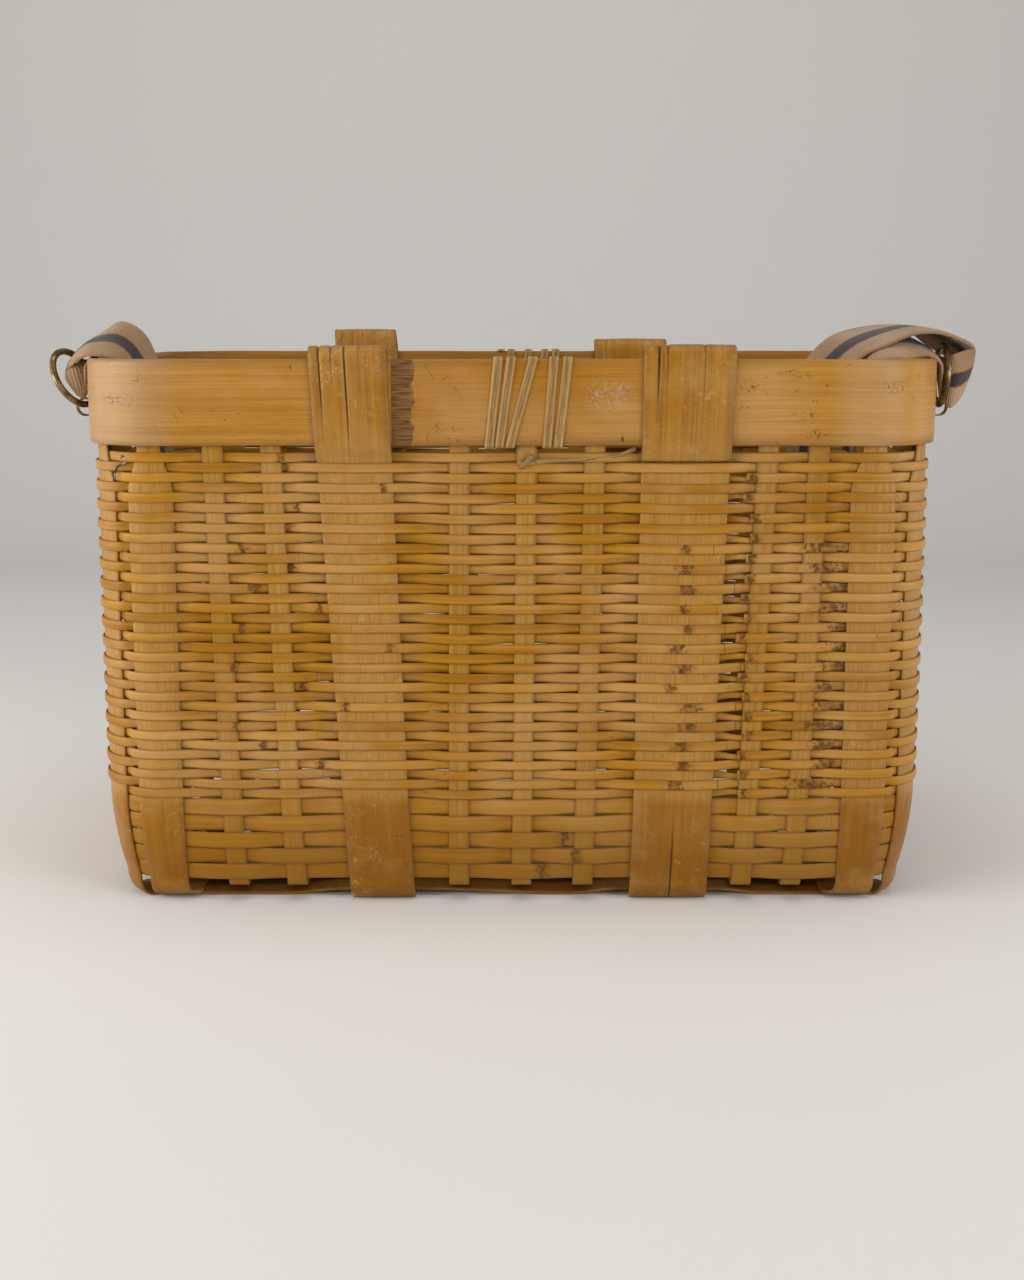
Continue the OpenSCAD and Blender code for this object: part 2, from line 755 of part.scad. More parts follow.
// A clip on the right side: a plate on the hoop, rolled into an eye at its top
module ring_clip() {
    difference() {
        union() {
            translate([eye_x, ring_y + eye_w / 2, eye_z]) rotate([90, 0, 0])
                cylinder(r = eye_r + clip_t, h = eye_w);
            translate([side_face, ring_y - eye_w / 2, rivet_z]) cube([clip_t, eye_w, eye_z - rivet_z]);
            translate([side_face, ring_y - clip_w / 2, rivet_z - clip_h / 2]) cube([clip_t, clip_w, clip_h]);
        }
        translate([eye_x, ring_y + eye_w, eye_z]) rotate([90, 0, 0]) cylinder(r = eye_r, h = 2 * eye_w);
        rivet_bores();
    }
}

module right_ring_clip() {
    color(brass) ring_clip();
}

module left_ring_clip() {
    color(brass) mirror([1, 0, 0]) ring_clip();
}

// A rivet through the clip and both hoops, with a head at each end
module rivet() {
    head = 2.1;
    translate([inner_face, 0, 0]) rotate([0, 90, 0]) union() {
        translate([0, 0, -0.7]) cylinder(r = head, h = 0.7);
        translate([0, 0, -0.1]) cylinder(r = rivet_r, h = side_face + clip_t - inner_face + 0.2);
        translate([0, 0, side_face + clip_t - inner_face]) cylinder(r1 = head, r2 = head * 0.6, h = 0.8);
    }
}

module ring_clip_rivets() {
    color(brass) for (p = rivet_places)
        translate([0, p[1], rivet_z]) mirror([p[0] < 0 ? 1 : 0, 0, 0]) rivet();
}

// Puts what is drawn round a ring's own centre, with the ring in its YZ plane, at the eye.
// The webbing draws the ring up, so its wire lies under the top of the bore.
module at_ring(lean_angle, yaw) {
    translate([eye_x, ring_y, hinge_z]) rotate([0, 0, yaw]) rotate([0, lean_angle, 0])
        translate([0, 0, ring_r]) children();
}

module strap_ring(lean_angle, yaw) {
    at_ring(lean_angle, yaw) rotate([0, 90, 0]) rotate_extrude() translate([ring_r, 0]) circle(wire_r);
}

module right_strap_ring() {
    color(brass) strap_ring(ring_lean[1], ring_yaw[1]);
}

module left_strap_ring() {
    color(brass) mirror([1, 0, 0]) strap_ring(ring_lean[0], ring_yaw[0]);
}

// ---------------------------------------------------------------- webbing
loop_play = 0.3;
loop_arc = 90;
loop_reach = 6;
loop_out = 20;

// The end of the webbing: gathered round the top of the ring, both layers sewn above it
module strap_end(lean_angle, yaw) {
    sleeve = wire_r + loop_play;
    at_ring(lean_angle, yaw) rotate([0, -90, 0]) rotate([0, 0, -loop_arc / 2])
        rotate_extrude(angle = loop_arc) difference() {
            union() {
                translate([ring_r, 0]) circle(sleeve + webbing_t);
                translate([ring_r, -webbing_t]) square([loop_reach, 2 * webbing_t]);
            }
            translate([ring_r, 0]) circle(sleeve);
        }
}

module right_strap_end() {
    color(cloth) strap_end(ring_lean[1], ring_yaw[1]);
}

module left_strap_end() {
    color(cloth) mirror([1, 0, 0]) strap_end(ring_lean[0], ring_yaw[0]);
}

// Route of the webbing: [x, y, z, width, twist of its width out of level]. It lies loosely
// over both rims and along the front of the base.
strap_reach = eye_x + loop_out;
floor_z = mat_z + mat_step + stake_t / 2 + 0.3 + webbing_t / 2;
strap_route = [
    [-strap_reach, -82, rim_top + 13, 26, 12], [-230, -82, rim_top + 12.5, 30, 12],
    [-217, -82, rim_top + 14, 34, 14], [-204, -82, rim_top + 14, 35, 14],
    [-192, -82, rim_top + 10, 35, 12], [-182, -81, rim_top, 35, 8],
    [-176, -80, rim_top - 20, 35, 0], [-176, -80, rim_top - 82, 35, 0],
    [-180, -80, 130, 35, 0], [-182, -80, 60, 35, 0],
    [-174, -80, 24, 35, 0], [-150, -79, floor_z, 35, 0],
    [-80, -76, floor_z, 35, 0], [0, -74, floor_z, 35, 0],
    [80, -76, floor_z, 35, 0], [150, -79, floor_z, 35, 0],
    [174, -80, 24, 35, 0], [182, -80, 60, 35, 0],
    [178, -80, 130, 35, 0], [170, -80, rim_top - 82, 35, 0],
    [162, -80, rim_top - 26, 35, 0], [166, -81, rim_top - 5, 35, 6],
    [182, -82, rim_top + 9, 35, 8], [203, -82, rim_top + 15, 35, 8],
    [228, -82, rim_top + 15, 32, 6], [strap_reach, -82, rim_top + 15, 28, 6]
];

function unit(v) = v / norm(v);
module shoulder_strap() {
    n = len(strap_route);
    function spot(i) = let (p = strap_route[max(0, min(n - 1, i))]) [p[0], p[1], p[2]];
    color(cloth) loft([
        for (i = [0:n - 1])
            let (
                p = spot(i),
                along = unit(spot(i + 1) - spot(i - 1)),
                flat = unit([0, 1, 0] - along * along[1]),
                tilt = strap_route[i][4],
                face = cross(along, flat),
                across = flat * cos(tilt) + face * sin(tilt) * sign(p[0] == 0 ? 1 : p[0]) * -1,
                out = cross(along, across),
                w = strap_route[i][3] / 35 * webbing_w / 2,
                h = webbing_t / 2
            )
            [for (k = [[-1, 1], [1, 1], [1, -1], [-1, -1]]) p + across * k[0] * w + out * k[1] * h]
    ]);
}

outer_rim_hoop();
inner_rim_hoop();
crosswise_stakes();
lengthwise_stakes();
left_wide_strap();
right_wide_strap();
left_corner_strap();
right_corner_strap();
front_runner_strap();
back_runner_strap();
weft_rows_top();
weft_rows_upper();
weft_rows_lower();
weft_rows_bottom();
wide_weft_rows();
crosswise_base_fillers();
lengthwise_base_fillers();
front_rim_lashing();
back_rim_lashing();
corner_tie_wire();
left_ring_clip();
right_ring_clip();
ring_clip_rivets();
left_strap_ring();
right_strap_ring();
shoulder_strap();
left_strap_end();
right_strap_end();
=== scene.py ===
"""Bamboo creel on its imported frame: detailed pieces, materials, camera and light.

Lengths are millimetres in the geometry below and metres once a mesh is made.
"""
import math

import bpy
import numpy as np
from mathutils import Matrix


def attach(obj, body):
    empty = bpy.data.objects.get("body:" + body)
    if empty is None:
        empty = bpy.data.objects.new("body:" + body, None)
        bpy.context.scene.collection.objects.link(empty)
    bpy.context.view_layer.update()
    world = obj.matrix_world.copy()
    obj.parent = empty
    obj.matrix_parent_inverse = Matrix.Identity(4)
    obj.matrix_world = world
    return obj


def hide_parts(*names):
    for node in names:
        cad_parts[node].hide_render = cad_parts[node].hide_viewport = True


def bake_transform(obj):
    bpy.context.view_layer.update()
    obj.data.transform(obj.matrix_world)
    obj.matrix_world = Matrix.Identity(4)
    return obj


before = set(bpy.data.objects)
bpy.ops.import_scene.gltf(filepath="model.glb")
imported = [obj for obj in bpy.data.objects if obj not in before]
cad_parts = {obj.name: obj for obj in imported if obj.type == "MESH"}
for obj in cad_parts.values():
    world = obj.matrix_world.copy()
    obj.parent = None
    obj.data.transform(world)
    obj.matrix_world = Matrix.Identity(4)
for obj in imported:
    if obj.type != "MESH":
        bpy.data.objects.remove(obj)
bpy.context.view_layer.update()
rng = np.random.default_rng(11)
MM = 0.001

# -------- sizes, as in the part's source, but with wefts a little higher
RIM_L, RIM_D, RIM_TOP, HOOP_H = 440, 264, 285.5, 43.5
OUTER_T, INNER_T, CORNER_R = 3.2, 3.5, 40
LAP, LAP_X = 62, -48
STAKE_W, STAKE_T, WIDE_T, STRAP_T = 10.5, 1.2, 2.2, 1.4
WRAP, CORNER_LEAD = 38, 13
WEFT_H, WEFT_T, ROWS = 5.0, 1.0, 35
WIDE_H, WIDE_PITCH, WIDE_ROWS = 8.9, 9.2, 5
FOOT, HOOP_CLEAR, PLAY, FOOT_INSET = 12.5, 3.3, 0.1, 11
MAT_Z, FILLER_W, CROSS_GAP = 9, 16, 0.25
AX, AY = RIM_L / 2 - CORNER_R, RIM_D / 2 - CORNER_R
RIM_GAP = STRAP_T / 2 + PLAY + CORNER_R * (1 - math.cos(math.radians(WRAP / 12)))
MID_R = CORNER_R - OUTER_T - RIM_GAP
HOOP_FOOT = RIM_TOP - HOOP_H
HOOP_Z = HOOP_FOOT + HOOP_H / 2
WEAVE_BEND = FOOT + WIDE_ROWS * WIDE_PITCH
ROW_PITCH = (HOOP_FOOT - HOOP_CLEAR - WEAVE_BEND) / ROWS
STAKE_TOP = RIM_TOP - HOOP_H / 6
REACH_X, REACH_Y = AX + MID_R, AY + MID_R
INNER_R = MID_R - RIM_GAP
MAT_STEP = (STAKE_T + PLAY) / 2

STAKE_X = [(-151.5, -145), (-122, -114), (-26.6, -28), (7.6, 5), (42, 37.5), (129.6, 121.6), (155.4, 148)]
LEFT_X, LEFT_W, LEFT_RISE = (-80, -69, -89), 34, (6, 13)
RIGHT_X, RIGHT_W, RIGHT_RISE = (88, 83, 77), 41, (6.5, 7)
STRAP_FLARE, STRAP_TAIL = 5, 62
SIDE_Y = [32 * i for i in range(-2, 3)]


def smoothstep(t):
    t = np.clip(t, 0, 1)
    return t * t * (3 - 2 * t)


def draw_in(z):
    """How far the wall has drawn in at height z."""
    return FOOT_INSET * np.maximum(0, (WEAVE_BEND - z) / WEAVE_BEND) ** 1.8


def flare(z):
    """How much wider a wide strap is at height z."""
    return STRAP_FLARE * np.clip((z - WEAVE_BEND) / (RIM_TOP - WEAVE_BEND), 0, 1)


def lean(pair, z):
    return pair[1] + (pair[0] - pair[1]) * (z - FOOT) / (HOOP_FOOT - FOOT)


def by_turns(i):
    return 1 if i % 2 == 0 else -1


# -------- the plan as one running length
CORNER_L = math.pi / 2 * MID_R
SIDES = [(-AX, -AY, 1, 0, 2 * AX), (AX, -AY, 0, 1, 2 * AY), (AX, AY, -1, 0, 2 * AX), (-AX, AY, 0, -1, 2 * AY)]
START = np.cumsum([0] + [s[4] + CORNER_L for s in SIDES])
ROUND = START[-1]


def plan(q, r):
    """Points of the plan at running length q, at radius r from the corner centres."""
    q = q % ROUND
    x, y, a = np.zeros_like(q), np.zeros_like(q), np.zeros_like(q)
    for i, (sx, sy, dx, dy, length) in enumerate(SIDES):
        on = (q >= START[i]) & (q < START[i + 1])
        s = np.clip(q - START[i], 0, length)
        turn = np.clip(q - START[i] - length, 0, CORNER_L) / CORNER_L * math.pi / 2
        x = np.where(on, sx + dx * s, x)
        y = np.where(on, sy + dy * s, y)
        a = np.where(on, i * math.pi / 2 + turn, a)
    return x + np.sin(a) * r, y - np.cos(a) * r


def at_front(x):
    return AX + x


def at_right(y):
    return START[1] + AY + y


def at_back(x):
    return START[2] + AX - x


def at_left(y):
    return START[3] + AY - y


# -------- meshes
def pchip(x, y, xi):
    """Smooth curve through y at x that doesn't overshoot, at xi."""
    h = np.diff(x).reshape((-1,) + (1,) * (y.ndim - 1))
    d = np.diff(y, axis=0) / h
    m = np.zeros_like(y)
    same = d[:-1] * d[1:] > 0
    m[1:-1] = np.where(same, 2 * d[:-1] * d[1:] / np.where(same, d[:-1] + d[1:], 1), 0)
    m[0], m[-1] = d[0], d[-1]
    k = np.clip(np.searchsorted(x, xi, side="right") - 1, 0, len(x) - 2)
    shape = (-1,) + (1,) * (y.ndim - 1)
    t = ((xi - x[k]) / (x[k + 1] - x[k])).reshape(shape)
    hk = (x[k + 1] - x[k]).reshape(shape)
    return (
        y[k] * (1 + 2 * t) * (1 - t) ** 2 + m[k] * hk * t * (1 - t) ** 2
        + y[k + 1] * t * t * (3 - 2 * t) + m[k + 1] * hk * t * t * (t - 1)
    )


def resample(rows, step):
    """Rows of points (n, m, 3) made evenly close, on smooth curves. Returns them and their running length."""
    rows = np.asarray(rows, float)
    gap = np.linalg.norm(np.diff(rows.mean(1), axis=0), axis=1)
    s = np.concatenate([[0], np.cumsum(np.maximum(gap, 0.05))])
    n = max(2, int(s[-1] / step) + 1)
    fine = np.unique(np.concatenate([np.linspace(0, s[-1], n), s]))
    return pchip(s, rows, fine), fine


def unit(v):
    return v / np.maximum(np.linalg.norm(v, axis=-1, keepdims=True), 1e-9)


def across(width, m, cuts=()):
    """Places across a strip, -1 to 1, closer at the cuts."""
    v = list(np.linspace(-1, 1, m) * width / 2)
    for c in cuts:
        at = c * width / 2
        v = [x for x in v if abs(x - at) > 0.9] + [at + d for d in (-0.8, -0.28, 0, 0.28, 0.8)]
    return np.array(sorted(v)) / (width / 2)


NO_MARK = 1000.0  # further from a node mark than any strip is long


def strip(P, along, seed, t, r, crown=0.0, lift=0.0, split_shade=0.0, node=None, centre=(0, 0, 140), v=None):
    """A strip of thickness t on a mid surface P (n, m, 3), with edges rounded by r and a crowned outside.
    The outside is the one that faces away from centre. Returns points, quads and the values that
    materials read: strip (place along and across, seed), band (-1 to 1 across, outside, painted shade along
    splits) and node."""
    n, m = P.shape[:2]
    T = unit(np.gradient(P, axis=0))
    A = np.gradient(P, axis=1)
    N = unit(np.cross(A, T))
    if np.sum(N * (P - centre)) < 0:
        N = -N
    if v is None:
        v = np.linspace(-1, 1, m)
    v = np.broadcast_to(v, (n, m))
    t = np.broadcast_to(np.reshape(t, (-1, 1)) if np.ndim(t) == 1 else t, (n, m))
    half = t[..., None] / 2
    up = (crown * (1 - v ** 2) + lift)[..., None]
    outer, inner = P + N * (half + up), P - N * half
    e0, e1 = unit(P[:, 0] - P[:, 1]), unit(P[:, -1] - P[:, -2])
    rr = np.minimum(r, t[:, 0] * 0.45)[:, None]
    for side in (outer, inner):
        side[:, 0] -= e0 * rr
        side[:, -1] -= e1 * rr
    h0, h1 = half[:, 0] - rr, half[:, -1] - rr
    ring = np.concatenate([
        outer,
        (P[:, -1] + N[:, -1] * h1)[:, None], (P[:, -1] - N[:, -1] * h1)[:, None],
        inner[:, ::-1],
        (P[:, 0] - N[:, 0] * h0)[:, None], (P[:, 0] + N[:, 0] * h0)[:, None],
    ], axis=1)
    k = ring.shape[1]
    width = np.linalg.norm(P[:, -1] - P[:, 0], axis=1)[:, None] / 2
    ends = np.ones((n, 2))
    ring_v = np.concatenate([v, ends, v[:, ::-1], -ends], axis=1)
    side = np.concatenate([np.ones((n, m)), ends * [0.6, 0.3], np.zeros((n, m)), ends * [0.3, 0.6]], axis=1)
    # Painted shade, dark along the splits of the wide straps
    d = np.broadcast_to(split_shade, (n, m))
    ring_shade = np.concatenate([d, ends * 0, d[:, ::-1], ends * 0], axis=1)
    s = np.broadcast_to(along[:, None], (n, k))
    mark = np.broadcast_to(NO_MARK if node is None else node, n) * MM
    i, j = np.meshgrid(np.arange(n - 1), np.arange(k), indexing="ij")
    j2 = (j + 1) % k
    quads = np.stack([i * k + j, i * k + j2, (i + 1) * k + j2, (i + 1) * k + j], -1).reshape(-1, 4)
    if np.dot(np.cross(ring[0, 1] - ring[0, 0], ring[1, 0] - ring[0, 0]), N[0, 0]) < 0:
        quads = quads[:, ::-1]
    caps = [[a, a + 1, k - 4 - a, k - 3 - a] for a in range(m - 1)]
    first = np.array(caps + [[m - 1, m, m + 1, m + 2], [k - 3, k - 2, k - 1, 0]])
    last = first + (n - 1) * k
    mid = ring[0].mean(0) - ring[min(1, n - 1)].mean(0)
    f = first[0]
    p = ring.reshape(-1, 3)
    turn = np.cross(p[f[1]] - p[f[0]], p[f[2]] - p[f[0]])
    first, last = (first, last[:, ::-1]) if np.dot(turn, mid) > 0 else (first[:, ::-1], last)
    return {
        "co": p,
        "quads": np.concatenate([quads, first, last]),
        "strip": np.stack([s * MM, ring_v * width * MM, np.full((n, k), seed)], -1).reshape(-1, 3),
        "band": np.stack([ring_v, side, ring_shade], -1).reshape(-1, 3),
        "node": np.broadcast_to(mark[:, None], (n, k)).reshape(-1),
    }


def points(x, y, z):
    """Points (n, m, 3) of coordinates, of which some are the same all the way across."""
    return np.stack(np.broadcast_arrays(x, y, z), -1)


def new_object(name, data):
    ob = bpy.data.objects.new(name, data)
    bpy.context.scene.collection.objects.link(ob)
    return ob


def piece(name, parts, material, nodes, body="basket"):
    """One object made of strips, in place of CAD nodes."""
    def joined(key):
        return np.concatenate([p[key] for p in parts])

    co = joined("co") * MM
    base = np.cumsum([0] + [len(p["co"]) for p in parts])
    quads = np.concatenate([p["quads"] + b for p, b in zip(parts, base)])
    mesh = bpy.data.meshes.new(name)
    mesh.vertices.add(len(co))
    mesh.vertices.foreach_set("co", co.astype(np.float32).ravel())
    mesh.loops.add(quads.size)
    mesh.loops.foreach_set("vertex_index", quads.astype(np.int32).ravel())
    mesh.polygons.add(len(quads))
    mesh.polygons.foreach_set("loop_start", np.arange(0, quads.size, 4, dtype=np.int32))
    mesh.polygons.foreach_set("use_smooth", np.ones(len(quads), bool))
    mesh.update(calc_edges=True)
    for key in ("strip", "band"):
        a = mesh.attributes.new(key, "FLOAT_VECTOR", "POINT")
        a.data.foreach_set("vector", joined(key).astype(np.float32).ravel())
    a = mesh.attributes.new("node", "FLOAT", "POINT")
    a.data.foreach_set("value", joined("node").astype(np.float32))
    mesh.validate()
    mesh.materials.append(material)
    ob = new_object(name, mesh)
    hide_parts(*nodes)
    if body:
        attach(ob, body)
    return ob


# -------- materials
def linear(*rgb):
    """Linear colour of sRGB values from 0 to 255."""
    c = [x / 255 for x in rgb]
    return [x / 12.92 if x <= 0.04045 else ((x + 0.055) / 1.055) ** 2.4 for x in c] + [1.0]


class Graph:
    """A material's node tree. Most methods add nodes and return an output. s and c are the place
    along and across a strip, and at is the place where noise is taken."""

    def __init__(self, name):
        self.material = bpy.data.materials.new(name)
        self.material.use_nodes = True
        self.tree = self.material.node_tree
        self.tree.nodes.clear()

    def put(self, socket, value):
        """Links a socket or sets a constant. A tuple is a colour in sRGB values."""
        if isinstance(value, bpy.types.NodeSocket):
            self.tree.links.new(value, socket)
        else:
            socket.default_value = linear(*value) if isinstance(value, tuple) else value

    def add(self, kind, inputs=None, **props):
        n = self.tree.nodes.new("ShaderNode" + kind)
        for key, value in props.items():
            setattr(n, key, value)
        for key, value in (inputs or {}).items():
            self.put(n.inputs[key], value)
        return n

    def attribute(self, name, kind="Vector"):
        return self.add("Attribute", attribute_name=name, attribute_type="GEOMETRY").outputs[kind]

    def place(self):
        self.at = self.add("TexCoord").outputs["Object"]

    def split(self, vector):
        return self.add("SeparateXYZ", {"Vector": vector}).outputs

    def vector(self, x, y, z):
        return self.add("CombineXYZ", {"X": x, "Y": y, "Z": z}).outputs["Vector"]

    def math(self, op, a, b=0.0, clamp=False):
        return self.add("Math", {0: a, 1: b}, operation=op, use_clamp=clamp).outputs[0]

    def mul(self, a, *others):
        for b in others:
            a = self.math("MULTIPLY", a, b)
        return a

    def plus(self, a, b):
        return self.math("ADD", a, b)

    def size(self, a):
        return self.math("ABSOLUTE", a)

    def noise(self, scale, detail=3.0, rough=0.55, distortion=0.0, at=None):
        inputs = {"Vector": at or self.at, "Scale": scale, "Detail": detail, "Roughness": rough}
        return self.add("TexNoise", {**inputs, "Distortion": distortion}).outputs["Fac"]

    def streaks(self, along, over, seed, detail=3.0, rough=0.6):
        """Noise drawn out along the strip, with its scales along and over it."""
        at = self.vector(self.mul(self.s, along), self.mul(self.c, over), seed)
        return self.noise(1.0, detail, rough, at=at)

    def range(self, value, low, high, to_low=0.0, to_high=1.0):
        inputs = {"Value": value, "From Min": low, "From Max": high, "To Min": to_low, "To Max": to_high}
        return self.add("MapRange", inputs, interpolation_type="SMOOTHSTEP").outputs["Result"]

    def mix(self, fac, a, b):
        n = self.add("Mix", data_type="RGBA")
        for key, value in ((0, fac), (6, a), (7, b)):
            self.put(n.inputs[key], value)
        return n.outputs[2]

    def tint(self, colour, mask, *rgb):
        return self.mix(mask, colour, rgb)

    def bump(self, height, distance, strength):
        n = self.add("Bump", {"Height": height, "Distance": distance, "Strength": strength})
        return n.outputs["Normal"]

    def finish(self, inputs):
        shader = self.add("BsdfPrincipled", inputs)
        self.add("OutputMaterial", {"Surface": shader.outputs["BSDF"]})
        return self.material


def bamboo(name, skin, deep, pith, rough, coat, grain, spots, pale, marks=None):
    """Split bamboo: fibres along the strip, a tone of its own for each strip, node marks, specks, worn edges.
    skin and deep are the tones of the outside, pith that of the inside. grain, spots and pale are how much
    it has of fibre, specks and light clouds. marks adds what one kind of strip shows besides."""
    g = Graph(name)
    g.s, g.c, seed = g.split(g.attribute("strip"))
    v, side, split_shade = g.split(g.attribute("band"))
    far = g.mul(seed, 17.3)
    g.place()
    fibre = g.streaks(22, 1900, far)
    streak = g.streaks(5, 420, far, 2.0, 0.5)
    cloud = g.noise(17.0)
    tone = g.noise(1.0, 1.0, 0.5, at=g.vector(g.mul(g.s, 3.5), 0.0, g.mul(seed, 91.7)))
    shade = g.plus(g.mul(streak, 0.5), g.mul(tone, 0.5))
    colour = g.mix(g.range(shade, 0.36, 0.64), deep, skin)
    colour = g.tint(colour, g.range(cloud, 0.35, 0.7, 0.0, pale), 196, 152, 96)
    colour = g.tint(colour, g.range(fibre, 0.3, 0.75, 0.16 * grain, 0.0), 96, 58, 22)
    inside = g.range(side, 0.75, 0.2)
    colour = g.mix(inside, colour, g.mix(g.range(fibre, 0.35, 0.65), pith, deep))
    # Darker towards the foot, below 90 mm up
    up = g.split(g.at)[2]
    colour = g.mix(g.range(up, 0.09, 0.0, 0.0, 0.8), colour, g.tint(deep, 0.5, 112, 70, 4))
    # Worn and dirty edges
    edge = g.mul(g.range(g.size(v), 0.72, 1.0), g.range(cloud, 0.3, 0.7, 0.25, 0.6))
    colour = g.tint(colour, edge, 122, 82, 38)
    # Specks in loose clusters
    speck = g.range(g.noise(700.0, 1.0, 0.5), 0.68, 0.75)
    group = g.range(g.noise(38.0, 2.0, 0.6), 0.52, 0.66)
    speck = g.mul(speck, group, 0.75 * spots)
    colour = g.tint(colour, speck, 70, 42, 20)
    # Grey handling wear
    worn = g.range(g.noise(55.0, 4.0, 0.7), 0.6, 0.72)
    worn = g.mul(worn, g.range(g.noise(9.0, 1.0), 0.5, 0.62))
    colour = g.tint(colour, g.mul(worn, 0.25), 140, 112, 76)
    # Node marks: dark rings where the culm had its joints, each in a soft shade
    ragged = g.attribute("node", "Fac")
    ragged = g.plus(ragged, g.range(g.noise(420.0, 2.0), 0.2, 0.8, -0.0025, 0.0025))
    ring = g.range(g.size(ragged), 0.0032, 0.0014)
    blotch = g.range(g.noise(340.0, 3.0, 0.7), 0.38, 0.58, 0.3, 1.0)
    colour = g.tint(colour, g.mul(ring, blotch), 74, 44, 14)
    colour = g.tint(colour, g.mul(g.range(g.size(ragged), 0.007, 0.002), 0.35), 118, 74, 26)
    if marks:
        colour = marks(g, colour)
    # Painted shade down the splits of the wide straps
    colour = g.tint(colour, g.math("MULTIPLY", split_shade, 0.9, True), 38, 22, 10)
    height = g.plus(g.mul(fibre, 0.6 * grain), g.mul(streak, 0.6))
    height = g.math("SUBTRACT", height, g.mul(speck, 0.6))
    roughness = g.plus(g.range(fibre, 0.3, 0.7, rough + 0.1, rough - 0.04), g.mul(inside, 0.25))
    return g.finish({
        "Base Color": colour, "Roughness": roughness, "Coat Weight": coat, "Coat Roughness": 0.3,
        "Specular IOR Level": 0.3, "Specular Tint": (255, 226, 170),
        "Normal": g.bump(height, 0.00022, 0.7),
    })


def blob(g, at, size, soft):
    """1 inside an ellipse on the strip, falling to 0 at its edge. at and size are in millimetres."""
    dx = g.math("DIVIDE", g.math("SUBTRACT", g.s, at[0] * MM), size[0] * MM)
    dy = g.math("DIVIDE", g.math("SUBTRACT", g.c, at[1] * MM), size[1] * MM)
    d = g.math("SQRT", g.plus(g.mul(dx, dx), g.mul(dy, dy)))
    return g.range(d, 1.0, 1.0 - soft)


def with_blobs(g, mask, what, soft, places):
    """A mask, and what shows in blobs at each of the places (at, size) besides."""
    for at, size in places:
        mask = g.math("MAXIMUM", mask, g.mul(blob(g, at, size, soft), what))
    return mask


def scored(g, lean_by, fine, low, seed=0.0):
    """Thin scratches at a slant across the strip."""
    u = g.plus(g.mul(g.s, fine), g.mul(g.c, fine * lean_by))
    w = g.math("SUBTRACT", g.mul(g.c, fine * 0.1), g.mul(g.s, fine * 0.1 * lean_by))
    return g.range(g.noise(1.0, 2.0, 0.5, at=g.vector(u, w, seed)), low, low + 0.03)


# On the front of the outer hoop, in millimetres along it and up from its middle.
# Its strip starts at the hidden end of the lap. Each zone is (from, to, softness, share, tone).
# The zones are painted lamp reflections: pale at the front corners, and a darker amber run beside the right
# one where the reflection breaks.
HOOP_REFLECTIONS = (
    (1178, 1250, 12, 0.32, (172, 152, 128)), (276, 304, 12, 0.3, (192, 162, 130)),
    (306, 319, 4, 0.45, (172, 118, 8)),
)
HOOP_WEAR = (((158, 1), (15, 12)), ((250, 4), (24, 11)), ((1268, 10), (24, 9)), ((288, 3), (5, 16)))
HOOP_STAINS = (
    ((257, -6), (9, 4)), ((264, -16), (12, 4)), ((251, 14), (12, 4)), ((73, -12), (2.0, 8.5)),
    ((225, -2), (3, 3)), ((1238, 11), (5, 5)), ((1226, 2), (13, 5)), ((300, 8), (12, 4)),
)


def hoop_marks(g, colour):
    """The front of the outer hoop: painted lamp reflections at the corners, the skived end of the lap, a
    scuff, scratches and stains.
    """
    fibre = g.streaks(60, 1500, 4.0)
    # Painted lamp reflections, pale at the front corners, with a darker amber run beside the right one where
    # the reflection breaks
    for lo, hi, soft, share, tone in HOOP_REFLECTIONS:
        reflection = g.range(g.s, (lo - soft) * MM, (lo + soft) * MM)
        reflection = g.mul(reflection, g.range(g.s, (hi + soft) * MM, (hi - soft) * MM))
        reflection = g.mul(reflection, g.range(g.split(g.at)[1], -0.06, -0.09))
        reflection = g.mul(reflection, g.range(fibre, 0.3, 0.55, 0.75, 1.0))
        colour = g.tint(colour, g.mul(reflection, share), *tone)
    # The end of the lap, cut thin so that its fibres show
    end = (ROUND + LAP) * MM
    cut = g.range(g.s, end - 0.0127, end - 0.0122)
    colour = g.mix(cut, colour, g.mix(g.range(fibre, 0.4, 0.62), (84, 52, 24), (132, 92, 52)))
    scratch = g.range(g.noise(520.0, 3.0, 0.75, 1.2), 0.5, 0.57)
    scuff = g.mul(blob(g, (158, 3), (17, 11), 0.6), scratch)
    colour = g.tint(colour, g.mul(scuff, 0.8), 168, 146, 112)
    lines = g.math("MAXIMUM", scored(g, 0.6, 560, 0.67), scored(g, -1.4, 460, 0.68, 3.0))
    worn = g.mul(lines, g.range(g.noise(24.0, 2.0), 0.5, 0.62))
    worn = with_blobs(g, worn, lines, 0.9, HOOP_WEAR)
    colour = g.tint(colour, g.mul(worn, 0.65), 92, 64, 34)
    spots = g.range(g.noise(640.0, 3.0, 0.75, 0.8), 0.54, 0.6)
    smudge = g.mul(blob(g, (228, 8), (6.5, 5), 0.7), spots)
    smudge = with_blobs(g, smudge, spots, 0.8, HOOP_STAINS)
    colour = g.tint(colour, g.mul(smudge, 0.85), 66, 42, 18)
    dot = blob(g, (165.5, -18.5), (1.1, 2.2), 0.5)
    return g.tint(colour, g.mul(dot, 0.8), 78, 50, 22)


